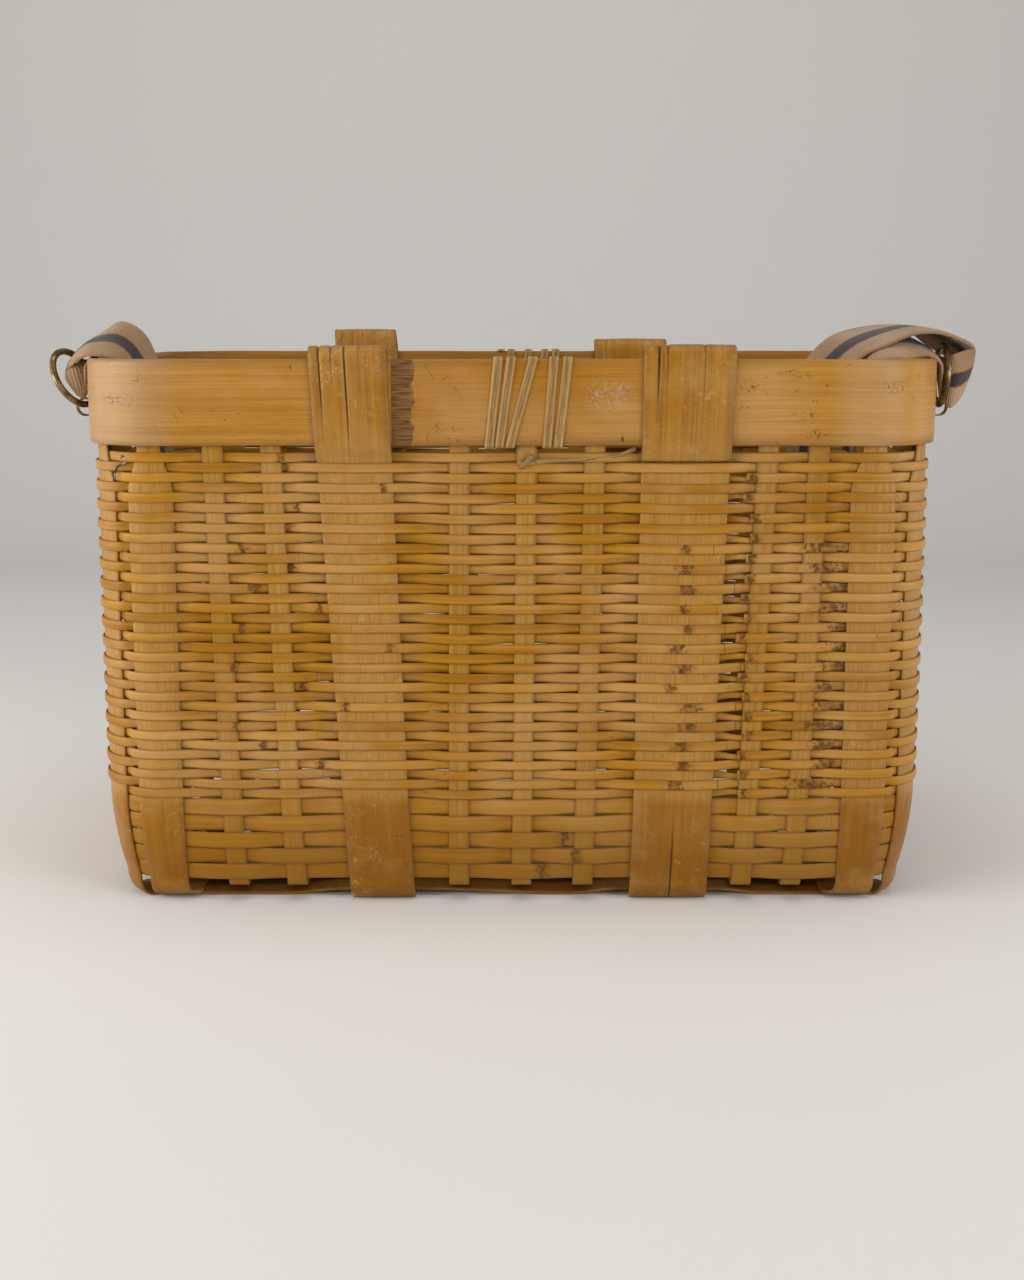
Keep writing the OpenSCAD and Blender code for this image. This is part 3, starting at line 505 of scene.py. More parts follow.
def strap_marks(g, colour):
    """Scratches and rubbed patches on the wide straps."""
    lines = g.math("MAXIMUM", scored(g, 0.5, 900, 0.66), scored(g, -2.2, 620, 0.67, 5.0))
    lines = g.mul(lines, g.range(g.noise(30.0, 2.0), 0.42, 0.58))
    colour = g.tint(colour, g.mul(lines, 0.7), 84, 58, 28)
    colour = g.tint(colour, g.range(g.noise(30.0, 4.0, 0.7), 0.42, 0.72, 0.0, 0.35), 180, 142, 84)
    # Under the weft rows the skin has kept its pale tone
    up = g.split(g.at)[2]
    covered = g.mul(g.range(up, 0.054, 0.062), g.range(up, 0.247, 0.236))
    fibre = g.streaks(40, 1300, 9.0)
    colour = g.tint(colour, g.mul(covered, g.range(fibre, 0.3, 0.6, 0.1, 0.4)), 188, 146, 78)
    # Short pale scuffs
    scuffs = g.mul(g.range(g.noise(260.0, 4.0, 0.75, 0.9), 0.56, 0.64),
                   g.range(g.noise(26.0, 2.0), 0.48, 0.6))
    return g.tint(colour, g.mul(scuffs, 0.4), 196, 164, 112)


def cane_marks(g, colour):
    """Grey weathered streaks down the middle of the cane."""
    fibre = g.streaks(70, 2600, 0.0)
    middle = g.range(g.size(g.c), 0.0017, 0.0008)
    return g.tint(colour, g.mul(middle, g.range(fibre, 0.4, 0.55, 0.15, 0.9)), 112, 88, 52)


# -------- uprights and straps
BEND_DEPTH = 0.8  # how far the foot bend of an upright reaches in, as a share of its drop


def front_leg(reach, base_z, top_z):
    """Distance from the middle and height of an upright, from its top down to the flat of the base."""
    wall = [(reach - draw_in(z), z) for z in [top_z] + list(np.linspace(WEAVE_BEND + 30, FOOT, 12))]
    if top_z > WEAVE_BEND + 60:
        wall.insert(1, (reach, WEAVE_BEND + 60))
    drop = FOOT - base_z
    foot = reach - draw_in(FOOT)
    a = np.radians(np.linspace(15, 90, 6))
    bend = [(foot - drop * BEND_DEPTH * (1 - math.cos(x)), base_z + drop * (1 - math.sin(x))) for x in a]
    return wall + bend


def u_rows(profile_in, run, profile_out):
    """Rows of a U strip as (signed distance, height): down one wall, along the base, up the other."""
    return [(-a, z) for a, z in profile_in] + run + [(a, z) for a, z in reversed(profile_out)]


def mat_run(cross, sign):
    """Path of a strip of the mat, over one crossing strip and under the next."""
    return [(at + side * (w / 2 + 0.4), MAT_Z + by_turns(i) * sign * MAT_STEP)
            for i, (at, w, _) in enumerate(cross) for side in (-1, 1)]


def lay_out(rows, centre_of, half_of, along_x, step=3.0, v=np.linspace(-1, 1, 5)):
    """Points of a strip whose centre line is rows of (distance, height)."""
    line, s = resample(np.array([[[d, 0, z]] for d, z in rows]), step)
    d, z = line[:, 0, 0], line[:, 0, 2]
    off = centre_of(d, z)[:, None] + half_of(d, z)[:, None] * v[None, :]
    d, z = d[:, None], z[:, None]
    return points(d, off, z) if along_x else points(off, d, z), s


# Strips of the base mat: place, width and, where it is an upright, its number
FEET = [lean(p, 0) for p in STAKE_X]
BASE_X = [(FEET[0], STAKE_W, 0)]
for i, (a, b) in enumerate(zip(FEET, FEET[1:])):
    if i in (1, 4):  # where a wide strap stands between two uprights
        between = ((0.26, FILLER_W), (0.5, STAKE_W), (0.74, FILLER_W))
    else:
        between = ((0.5, min(FILLER_W, b - a - STAKE_W - 2)),)
    BASE_X += [(a + share * (b - a), w, None) for share, w in between] + [(b, STAKE_W, i + 1)]
BASE_Y = [(i * 16, *((STAKE_W, i) if i % 2 == 0 else (FILLER_W, None))) for i in range(-5, 6)]
TUCK = 3  # how far a filler reaches past the last strip it crosses


def mat_parts(lengthwise, fillers):
    """The fillers of the base mat one way, or the narrow uprights, which turn up the walls on both sides."""
    here, cross, reach = (BASE_Y, BASE_X, REACH_X) if lengthwise else (BASE_X, BASE_Y, REACH_Y)
    leg = front_leg(reach, MAT_Z, STAKE_TOP)
    parts = []
    for i, (at, w, number) in enumerate(here):
        if (number is None) != fillers:
            continue
        run = mat_run(cross, by_turns(i) * (-1 if lengthwise else 1))
        if fillers:
            rows = [(run[0][0] - TUCK, run[0][1])] + run + [(run[-1][0] + TUCK, run[-1][1])]
        else:
            rows = u_rows(leg, run, leg)
        pair = (at, at) if fillers or lengthwise else STAKE_X[number]
        P, s = lay_out(rows, lambda d, z: lean(pair, np.maximum(z, 0)),
                       lambda d, z: np.full(len(d), w / 2), lengthwise)
        parts.append(strip(P, s, rng.random(), STAKE_T, 0.3, centre=(0, 0, 1000 if fillers else 140)))
    return parts


STRAP_OUT = RIM_GAP + OUTER_T + PLAY + WIDE_T / 2
STRAP_IN = RIM_GAP + INNER_T + PLAY + WIDE_T / 2


def strap_leg(rise):
    """A wide strap from its hidden tail, over the rim and down the outside."""
    c, r = REACH_Y + (STRAP_OUT - STRAP_IN) / 2, (STRAP_OUT + STRAP_IN) / 2
    spring = RIM_TOP + 0.3
    over = [(c + r * math.cos(a), spring + (rise - WIDE_T / 2) * math.sin(a))
            for a in np.radians(np.linspace(165, 15, 9))]
    top = HOOP_FOOT - HOOP_CLEAR - ROW_PITCH + PLAY
    side = REACH_Y + STRAP_OUT
    down = [(side, spring), (side, HOOP_FOOT + 2), (side - 1, HOOP_FOOT - 1.2)]
    return [(REACH_Y - STRAP_IN, RIM_TOP - STRAP_TAIL), (REACH_Y - STRAP_IN, spring)] + over + down + \
        front_leg(REACH_Y, WIDE_T / 2, top)


def wide_strap_part(places, width, rise, cuts, seed):
    """cuts are (place across -1..1, height where the split ends on the front, depth)."""
    rows = u_rows(strap_leg(rise[0]), [], strap_leg(rise[1]))
    v = across(width, 15, [c[0] for c in cuts])

    def centre_of(d, z):
        side = np.where(d < 0, places[0], places[2])
        slope = (side - places[1]) * (np.maximum(z, 0) - FOOT) / (HOOP_FOOT - FOOT)
        return places[1] + slope * np.where(z < FOOT, smoothstep(np.abs(d) / 90), 1)

    P, s = lay_out(rows, centre_of, lambda d, z: (width + flare(z)) / 2, False, 2.5, v)
    z, y = P[:, :, 2], P[:, :, 1]
    lift, split_shade = np.zeros(z.shape), np.zeros(z.shape)
    # Each split runs from the top of the loop down to its own height, in front, or up from the foot where
    # the height is negative. The strips between bow a little.
    for at, stop, depth in cuts:
        near = np.exp(-((v[None, :] - at) * width / 2 / 0.3) ** 2)
        wide = np.exp(-((v[None, :] - at) * width / 2 / 1.6) ** 2)
        down = smoothstep((z - stop) / 35) if stop >= 0 else smoothstep((-stop - z) / 25)
        run = np.where(y < 0, down, 0.35 * down)
        lift -= (near * depth * 0.8 + wide * depth * 0.05) * run
        # A dark line of painted shade follows each split
        split_shade += near * run * min(1, depth)
    return strip(P, s, seed, WIDE_T, 0.5, 0.35, lift, np.clip(split_shade, 0, 1), v=v)


def wrap_angle(j, n, z):
    """Angle on the corner of place j of n across a corner strap, which narrows under the hoop."""
    share = 1 - 0.5 * np.clip((z - HOOP_FOOT + 25) / 25, 0, 1)
    return WRAP * (1 - share) / 2 + WRAP * share * j / (n - 1)


RUN_IN = 17  # how far in from the wall the corner straps of front and back meet the base


def corner_rows(crosswise, base_z):
    """Rows of a corner strap, from its top down the corner and round under the base."""
    n = 9  # places across

    def on_corner(a, r, z):
        a = math.radians(a)
        return [AX + (r * math.sin(a) if a > 0 else MID_R * a), -AY - r * math.cos(max(a, 0)), z]

    def turned(j, z):
        return wrap_angle(j, n, z) - CORNER_LEAD if crosswise else 90 - CORNER_LEAD - wrap_angle(j, n, z)

    levels = [STAKE_TOP, HOOP_FOOT, HOOP_FOOT - 25, 160, WEAVE_BEND + 20]
    levels += list(np.linspace(WEAVE_BEND, FOOT, 8))
    rows = [[on_corner(turned(j, z), MID_R - draw_in(z), z) for j in range(n)] for z in levels]
    r = MID_R - draw_in(FOOT)
    width = MID_R * math.radians(WRAP)
    for t in np.linspace(0.17, 1, 6):
        row = []
        for j in range(n):
            top = np.array(on_corner(turned(j, 0), r, FOOT))
            if crosswise:
                flat = np.array([AX - 14 + width * j / (n - 1), -(REACH_Y - RUN_IN), base_z])
            else:
                flat = np.array([top[0] - 7, -(AY - 6 + width * j / (n - 1)), base_z])
            b, c = (1 - t) ** 2, 2 * t * (1 - t)
            p = (b + c) * top + t * t * flat
            p[2] = b * FOOT + (c + t * t) * base_z
            row.append(p)
        rows.append(row)
    return [np.array(r, float) for r in rows]


def mirrored(row, axis):
    out = row.copy()
    out[:, axis] *= -1
    return out


def corner_strap_part(sign, seed):
    down = corner_rows(True, STRAP_T * 1.5 + 2 * CROSS_GAP)
    rows = down + [mirrored(r, 1) for r in reversed(down)]
    P, s = resample(rows, 3.0)
    P[:, :, 0] *= sign
    return strip(P, s, seed, STRAP_T, 0.35, 0.25)


def runner_part(sign, seed):
    low, high = STRAP_T / 2, WIDE_T + CROSS_GAP + STRAP_T / 2
    down = corner_rows(False, low)
    flat = down[-1]
    # It runs lower under the mat and higher over the two wide straps
    right, right_half, left, left_half = RIGHT_X[1], RIGHT_W / 2, LEFT_X[1], LEFT_W / 2
    stops = [
        (right + right_half + 34, low), (right + right_half + 6, high), (right - right_half - 6, high),
        (31, low), (left + left_half + 6, high), (left - left_half - 6, high), (left - left_half - 34, low),
    ]
    run = []
    for x, z in stops:
        row = flat.copy()
        row[:, 0], row[:, 2] = x, z
        run.append(row)
    rows = down + run + [mirrored(r, 0) for r in reversed(down)]
    P, s = resample(rows, 3.0)
    P[:, :, 1] *= sign
    return strip(P, s, seed, STRAP_T, 0.35, 0.2)


# -------- hoops
def hoop_part(r_out, t, inside, seed):
    """A bent band whose ends are thinned and laid over each other. The back one is mirrored front to back."""
    start = at_front(LAP_X - LAP)
    s = np.arange(0, ROUND + LAP + 0.1, 2.0)
    taper = np.clip(s / LAP, 0, 1)
    tail = np.clip((ROUND + LAP - s) / LAP, 0, 1)
    fade = np.minimum(taper, tail)
    thick = np.maximum(t * fade, 0.12)
    # The first end lies inside the lap and the last end outside it
    mid = r_out - t / 2 - t / 2 * (1 - taper) + t / 2 * (1 - tail)
    v = across(HOOP_H, 15)
    wobble = 0.22 * np.sin(s / 37 + seed * 9) + 0.16 * np.sin(s / 13.7 + seed * 5)
    z = HOOP_Z + v[None, :] * (HOOP_H / 2 - 0.25) + wobble[:, None] * fade[:, None] * 0.6
    x, y = plan(start + s, mid)
    P = points(x[:, None], y[:, None], z)
    # The thin outer end is ragged
    rag = 0.9 * np.sin(v * 9 + 1) + 0.6 * np.sin(v * 23 + 2) + 0.4 * np.sin(v * 47)
    P[-1, :, 0] += rag
    P[-2, :, 0] += rag * 0.5
    if inside:
        P[:, :, 1] *= -1
    return strip(P, s, seed, thick, 0.7, 0.3, v=v)


# -------- wefts
LEAD = 0.6  # how far beside an upright a weft is already behind or in front of it
STEP = 2.2  # distance between places along a weft
OVERLAP, THIN = 14, 16  # length of a weft's lap, and of its thinned end
PHASES = 6.28  # range of a random phase
MARK_REACH = 40  # running length beyond which node marks don't matter


def sway(q):
    """How far all rows rise and fall together round the basket."""
    turn = 2 * np.pi * q / ROUND
    return 0.35 * np.sin(4 * turn + 1) + 0.22 * np.sin(11 * turn + 2.2) + 0.12 * np.sin(23 * turn)


def upright_list(z):
    """(start, end, thickness, is a strap) of every upright at height z, in running length."""
    def narrow(kind, c, half):
        return tuple(sorted((kind(c - half), kind(c + half))))

    def wide(kind, places, w, side):
        return narrow(kind, lean((places[side], places[1]), z), (w + flare(z)) / 2 + LEAD) + (WIDE_T, True)

    h = STAKE_W / 2 + LEAD
    a = [narrow(at_front, lean(p, z), h) + (STAKE_T, False) for p in STAKE_X]
    b = [narrow(at_back, lean(p, z), h) + (STAKE_T, False) for p in reversed(STAKE_X)]
    front = [*a[:2], wide(at_front, LEFT_X, LEFT_W, 0), *a[2:5], wide(at_front, RIGHT_X, RIGHT_W, 0), *a[5:]]
    back = [*b[:2], wide(at_back, RIGHT_X, RIGHT_W, 2), *b[2:5], wide(at_back, LEFT_X, LEFT_W, 2), *b[5:]]
    right = [narrow(at_right, y, h) + (STAKE_T, False) for y in SIDE_Y]
    left = [narrow(at_left, y, h) + (STAKE_T, False) for y in reversed(SIDE_Y)]
    out = []
    for k, side in enumerate((front, right, back, left)):
        q0 = START[k] + SIDES[k][4]
        lo, hi = wrap_angle(0, 2, z), wrap_angle(1, 2, z)
        turn = math.radians(1) * MID_R
        near = CORNER_LEAD if k % 2 else -CORNER_LEAD
        one = (q0 + (lo + near) * turn - LEAD, q0 + (hi + near) * turn + LEAD, STRAP_T, True)
        two = (q0 + (90 + near - hi) * turn - LEAD, q0 + (90 + near - lo) * turn + LEAD, STRAP_T, True)
        out += side + [one, two]
    return out


def weft_out(q, z, sign, behind):
    """How far out a weft runs, and how far it bows over what it covers. If behind, no strap is covered."""
    marks, outs, bow = [], [], np.zeros_like(q)
    for i, (q0, q1, t, strap) in enumerate(upright_list(z)):
        side = -1 if behind and strap else -by_turns(i) * sign
        out = side * (t / 2 + PLAY + WEFT_T / 2)
        marks += [q0, q1]
        outs += [out, out]
        if side > 0:
            turn = np.clip((q % ROUND - q0 + 4) / (q1 - q0 + 8), 0, 1)
            on = (q % ROUND > q0 - 4) & (q % ROUND < q1 + 4)
            bow += np.where(on, np.sin(np.pi * turn), 0) * (1.0 if q1 - q0 > 20 else 0.35)
    marks = np.array([marks[-1] - ROUND] + marks + [marks[0] + ROUND])
    outs = np.array([outs[-1]] + outs + [outs[0]])
    return pchip(marks, outs, q % ROUND), bow


def row_marks(q, places):
    """Running length to the nearest node mark, in millimetres. places are (where, how many times as wide)."""
    d = np.full(len(q), NO_MARK)
    for p, wider in places:
        here = ((q - p + ROUND / 2) % ROUND - ROUND / 2) / wider
        d = np.where(np.abs(here) < np.abs(d), here, d)
    return np.clip(d, -MARK_REACH, MARK_REACH)


def weft_part(k, lap_at=None):
    """One narrow weft. Where lap_at is given its outer end shows there, over the thinned other end."""
    z0 = HOOP_FOOT - HOOP_CLEAR - k * ROW_PITCH - WEFT_H
    seed = rng.random()
    start = at_front(lap_at) if lap_at is not None else at_right(-32 if k % 2 == 0 else 0)
    q = start + np.arange(0, ROUND + (0 if lap_at is None else OVERLAP) + 0.1, STEP)
    s = q - start
    out, bow = weft_out(q, z0 + WEFT_H / 2, by_turns(k), False)
    out = out + 0.12 * bow
    phase = rng.random(4) * PHASES
    wobble = sway(q) * min(1, k / 4) + 0.05 * np.sin(s / 17 + phase[1])
    h = WEFT_H * (1 + 0.012 * np.sin(s / 60 + phase[2]) - 0.012 * rng.random())
    if lap_at is not None:
        over = np.clip(1 - s / THIN, 0, 1)
        under = smoothstep((s - (ROUND - THIN)) / OVERLAP)
        out = out + 0.45 * over - 0.55 * under
        h = h * (1 - 0.42 * under)
        wobble = wobble + under * rng.choice([-0.9, 0.9])
    v = np.linspace(-1, 1, 5)
    z = (z0 + WEFT_H / 2 + wobble - 0.25 * bow)[:, None] + v[None, :] * h[:, None] / 2
    x, y = plan(q, MID_R + out)
    P = points(x[:, None], y[:, None], z)
    places = [(start + 420 * i + 90 * rng.random(), 0.5 + 0.4 * rng.random()) for i in range(1, 3)]
    if k % 2 == 1 and k > 8:
        places.append((at_front(163 + 5 * rng.standard_normal()), 1.5 + 2 * rng.random()))
        places.append((at_front(87 + 3 * rng.standard_normal()), 0.7 + 0.9 * rng.random()))
    if lap_at is not None:
        places.append((start + 2.5, 0.8))
    return strip(P, s, seed, WEFT_T, 0.3, 0.22, node=row_marks(q, places))


def wide_weft_part(k):
    z0 = FOOT + k * WIDE_PITCH + (WIDE_PITCH - WIDE_H) / 2
    start = at_left(0)
    q = start + np.arange(0, ROUND + 0.1, STEP)
    s = q - start
    out, bow = weft_out(q, z0 + WIDE_H / 2, -by_turns(k), True)
    phase = rng.random(4) * PHASES
    wobble = sway(q) * k / 8 + 0.06 * np.sin(s / 23 + phase[1])
    h = WIDE_H * (0.99 + 0.012 * np.sin(s / 70 + phase[2]))
    v = np.linspace(-1, 1, 7)
    z = (z0 + WIDE_H / 2 + wobble - 0.2 * bow)[:, None] + v[None, :] * h[:, None] / 2
    r = MID_R - draw_in(z) + (out + 0.1 * bow)[:, None]
    x, y = np.stack([plan(q, r[:, j]) for j in range(len(v))], -1)
    P = points(x, y, z)
    places = [(start + 330 * i + 90 * rng.random(), 0.9) for i in range(1, 4)]
    return strip(P, s, rng.random(), WEFT_T, 0.3, 0.3, node=row_marks(q, places))


# -------- lashing
# Where each turn crosses the top and the foot of the hoops
LASH_TOP, LASH_FOOT = [-7, -0.5, 10.5, 21, 28], [-11.5, -6.3, -1, 17.6, 23.2]
LASH_W, LASH_T = 4.8, 0.9


def lashing_part(sign, seed):
    out = RIM_GAP + OUTER_T + PLAY + LASH_T / 2
    inn = RIM_GAP + INNER_T + PLAY + LASH_T / 2
    up, down = RIM_TOP + PLAY + LASH_T / 2, HOOP_FOOT - PLAY - LASH_T / 2
    line = []
    for t, f in zip(LASH_TOP, LASH_FOOT):
        line += [(t, -inn, up - 1), (t, -inn + 1, up), (t, out - 1, up)]
        line += [(t + (f - t) * u, out, up - 1 + (down - up + 2) * u) for u in (0, 0.04, 0.3, 0.6, 0.96, 1)]
        line += [(f, out - 1, down), (f + 0.3, -inn + 1, down), (f + 0.3, -inn, down + 1)]
    line.append((LASH_FOOT[-1] + 1.5, -inn, (RIM_TOP + HOOP_FOOT) / 2))
    rows = [[(x + d * LASH_W / 2, -(REACH_Y + o), z) for d in (-1, -0.5, 0, 0.5, 1)] for x, o, z in line]
    P, s = resample(rows, 1.5)
    P[:, :, 1] *= -sign
    return strip(P, s, seed, LASH_T, 0.25, 0.05, centre=(8, sign * REACH_Y, HOOP_Z))


def lashing_tail():
    """The thin end of the front lashing, knotted at its left foot and tucked behind the hoop on the right."""
    out = REACH_Y + RIM_GAP
    run = [(3, 1.2, 233.6), (6, 1.6, 233.2), (12, 1.0, 234), (35, 0.8, 235.4), (54, 0.6, 237.6)]
    run.append((63, -0.3, 241))
    knot = [(4, 0.9, 230.6), (6, 2.3, 232.5), (8, 2.4, 234.6), (10, 0.9, 237.5)]
    parts = []
    for line, dx, dz, seed in ((run, 0, 1.1, 0.2), (knot, 1.3, -0.4, 0.6)):
        rows = [[(x + dx * d, -out - o, z + dz * d) for d in (-1, 0, 1)] for x, o, z in line]
        P, s = resample(rows, 1.0)
        parts.append(strip(P, s, seed, 0.6, 0.2, 0.1))
    return parts


# -------- make the pieces
HOOP = bamboo("hoop bamboo", (182, 130, 48), (164, 108, 22), (138, 92, 34),
              rough=0.38, coat=0.2, grain=1.8, spots=1.4, pale=0.5, marks=hoop_marks)
STRAP = bamboo("strap bamboo", (166, 112, 16), (138, 84, 0), (142, 98, 34),
               rough=0.42, coat=0.15, grain=1.7, spots=1.0, pale=0.2, marks=strap_marks)
SPLIT = bamboo("split bamboo", (176, 124, 28), (146, 94, 4), (144, 102, 38),
               rough=0.44, coat=0.1, grain=1.0, spots=0.8, pale=0.62)
UPRIGHT = bamboo("upright bamboo", (176, 130, 52), (150, 104, 22), (146, 104, 46),
                 rough=0.5, coat=0.05, grain=1.5, spots=0.8, pale=0.55)
CANE = bamboo("lashing cane", (196, 160, 108), (170, 130, 76), (150, 114, 66),
              rough=0.5, coat=0.05, grain=1.4, spots=1.0, pale=0.3, marks=cane_marks)

# Splits of the wide straps: place across, height where it ends, depth
LEFT_CUTS = [(-0.74, 240, 1.4), (-0.42, 262, 1.0), (-0.08, 230, 1.6), (0.3, 252, 0.4)]
RIGHT_CUTS = [(-0.68, 250, 2.0), (-0.49, 265, 1.1), (0.32, 250, 0.6), (0.04, -52, 1.0)]

for name, part, node in (
    ("bent_outer_hoop", hoop_part(CORNER_R, OUTER_T, False, 0.31), "outer_rim_hoop"),
    ("bent_inner_hoop", hoop_part(INNER_R, INNER_T, True, 0.77), "inner_rim_hoop"),
):
    piece(name, [part], HOOP, [node])
for name, lengthwise, fillers, node in (
    ("uprights_crosswise", False, False, "crosswise_stakes"),
    ("uprights_lengthwise", True, False, "lengthwise_stakes"),
    ("base_fill_crosswise", False, True, "crosswise_base_fillers"),
    ("base_fill_lengthwise", True, True, "lengthwise_base_fillers"),
):
    piece(name, mat_parts(lengthwise, fillers), UPRIGHT, [node])
for name, part, node in (
    ("wide_strap_left", wide_strap_part(LEFT_X, LEFT_W, LEFT_RISE, LEFT_CUTS, 0.2), "left_wide_strap"),
    ("wide_strap_right", wide_strap_part(RIGHT_X, RIGHT_W, RIGHT_RISE, RIGHT_CUTS, 0.6), "right_wide_strap"),
    ("corner_strap_left", corner_strap_part(-1, 0.4), "left_corner_strap"),
    ("corner_strap_right", corner_strap_part(1, 0.9), "right_corner_strap"),
    ("runner_strap_front", runner_part(1, 0.15), "front_runner_strap"),
    ("runner_strap_back", runner_part(-1, 0.55), "back_runner_strap"),
):
    piece(name, [part], STRAP, [node])
for name, first, last in (("top", 0, 8), ("upper", 9, 17), ("lower", 18, 26), ("bottom", 27, 34)):
    rows = [
        weft_part(k, 118 + 1.5 * rng.standard_normal() if k % 2 == 0 and k > 0 else None)
        for k in range(first, last + 1)
    ]
    piece("narrow_wefts_" + name, rows, SPLIT, ["weft_rows_" + name])
piece("wide_wefts", [wide_weft_part(k) for k in range(WIDE_ROWS)], SPLIT, ["wide_weft_rows"])
piece("lashing_front", [lashing_part(-1, 0.3)] + lashing_tail(), CANE, ["front_rim_lashing"])
piece("lashing_back", [lashing_part(1, 0.8)], CANE, ["back_rim_lashing"])


# -------- metal and webbing
def brass():
    g = Graph("dark brass")
    g.place()
    cloud = g.noise(160.0, 4.0, 0.65)
    fine = g.noise(900.0, 3.0, 0.6)
    colour = g.mix(g.range(cloud, 0.4, 0.62), (98, 78, 48), (156, 134, 96))
    colour = g.tint(colour, g.range(fine, 0.55, 0.7, 0.0, 0.5), 58, 46, 32)
    return g.finish({
        "Base Color": colour, "Metallic": 1.0, "Roughness": g.range(cloud, 0.35, 0.7, 0.55, 0.3),
        "Normal": g.bump(g.plus(cloud, g.mul(fine, 0.3)), 0.0002, 0.5),
    })


def tie_wire():
    g = Graph("dull wire")
    g.place()
    cloud = g.noise(420.0, 3.0, 0.6)
    return g.finish({
        "Base Color": g.mix(g.range(cloud, 0.4, 0.6), (62, 60, 62), (138, 138, 144)),
        "Metallic": 1.0, "Roughness": 0.42, "Normal": g.bump(cloud, 0.0001, 0.4),
    })


BRASS_PARTS = ("left_ring_clip", "right_ring_clip", "ring_clip_rivets", "left_strap_ring", "right_strap_ring")
for material, nodes in ((tie_wire(), ("corner_tie_wire",)), (brass(), BRASS_PARTS)):
    for node in nodes:
        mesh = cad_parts[node].data
        mesh.materials.clear()
        mesh.materials.append(material)

WEB_W, WEB_T = 35, 1.7


def webbing_cloth():
    """Ribbed cotton webbing: ribs across it with painted shade in their troughs, and a charcoal stripe with
    maroon edges down its middle.
    """
    g = Graph("striped webbing")
    g.s, g.c, _ = g.split(g.attribute("strip"))
    v = g.split(g.attribute("band"))[0]
    g.place()
    cloud = g.noise(32.0, 3.0, 0.6)
    fine = g.streaks(1400, 1400, 0.0, 2.0)
    slant = g.plus(g.s, g.mul(g.size(g.c), 0.25))
    rib = g.math("SINE", g.mul(slant, 2 * math.pi / 0.00105))
    thread = g.math("SINE", g.mul(g.c, 2 * math.pi / 0.0007))
    colour = g.mix(g.range(cloud, 0.35, 0.65), (166, 130, 92), (184, 152, 118))
    colour = g.tint(colour, g.range(fine, 0.3, 0.7, 0.3, 0.0), 132, 96, 62)
    # Painted shade in the troughs between the ribs
    colour = g.tint(colour, g.range(rib, -1.0, 0.2, 0.45, 0.0), 112, 78, 50)
    wander = g.plus(g.size(g.c), g.range(fine, 0.2, 0.8, -0.0003, 0.0003))
    maroon = g.mul(g.range(wander, 0.0034, 0.0037), g.range(wander, 0.0049, 0.0045))
    charcoal = g.range(wander, 0.0039, 0.0035)
    colour = g.tint(colour, g.mul(maroon, 0.85), 104, 46, 42)
    colour = g.mix(charcoal, colour, g.mix(g.range(fine, 0.35, 0.7), (40, 32, 26), (68, 58, 50)))
    colour = g.tint(colour, g.mul(g.range(g.size(v), 0.93, 1.0), 0.4), 150, 112, 76)
    height = g.plus(g.plus(rib, g.mul(thread, 0.35)), g.mul(fine, 0.8))
    return g.finish({
        "Base Color": colour, "Roughness": 0.88, "Sheen Weight": 0.25, "Sheen Roughness": 0.5,
        "Specular IOR Level": 0.25, "Normal": g.bump(height, 0.00016, 0.8),
    })


def catmull(rows, step):
    """Rows (n, k) made evenly close on a smooth curve that passes through them all."""
    rows = np.asarray(rows, float)
    ext = np.concatenate([[2 * rows[0] - rows[1]], rows, [2 * rows[-1] - rows[-2]]])
    out = []
    for i in range(len(rows) - 1):
        p0, p1, p2, p3 = ext[i:i + 4]
        n = max(2, int(np.linalg.norm((p2 - p1)[:3]) / step))
        for t in np.arange(n) / n:
            out.append(0.5 * (2 * p1 + (p2 - p0) * t + (2 * p0 - 5 * p1 + 4 * p2 - p3) * t ** 2
                              + (3 * p1 - p0 - 3 * p2 + p3) * t ** 3))
    out.append(rows[-1])
    return np.array(out)


def web_part(stations):
    """Webbing through stations of its two edges and the height of its middle: (x, y, z, x, y, z, crown)."""
    rows = catmull(stations, 2.0)
    one, two = rows[:, :3], rows[:, 3:6]
    c, w = (one + two) / 2, (two - one) / 2
    T = unit(np.gradient(c, axis=0))
    N = -unit(np.cross(w, T))
    v = np.linspace(-1, 1, 13)
    v_all = v[None, :, None]
    P = c[:, None] + w[:, None] * v_all + N[:, None] * (rows[:, 6, None, None] * (1 - v_all ** 2))
    s = np.concatenate([[0], np.cumsum(np.linalg.norm(np.diff(c, axis=0), axis=1))])
    part = strip(P, s, 0.5, WEB_T, 0.5)
    # The stripe keeps its own width where the webbing is gathered
    part["strip"][:, 1] = part["band"][:, 0] * WEB_W / 2 * MM
    return part, s[-1]


WEB = webbing_cloth()
FLOOR_Z = MAT_Z + MAT_STEP + STAKE_T / 2 + 0.3 + WEB_T / 2
# Half of the run through the basket, from its middle to the wall: x, y of both edges and height
LOW_RUN = (
    (0, -91.5, -56.5, FLOOR_Z), (80, -93.5, -58.5, FLOOR_Z), (150, -96.5, -61.5, FLOOR_Z),
    (174, -97, -63, 24), (181, -97.5, -62.5, 60),
)


def low_run(side):
    return [(side * x, one, z, side * x, two, z, 0) for x, one, two, z in LOW_RUN]


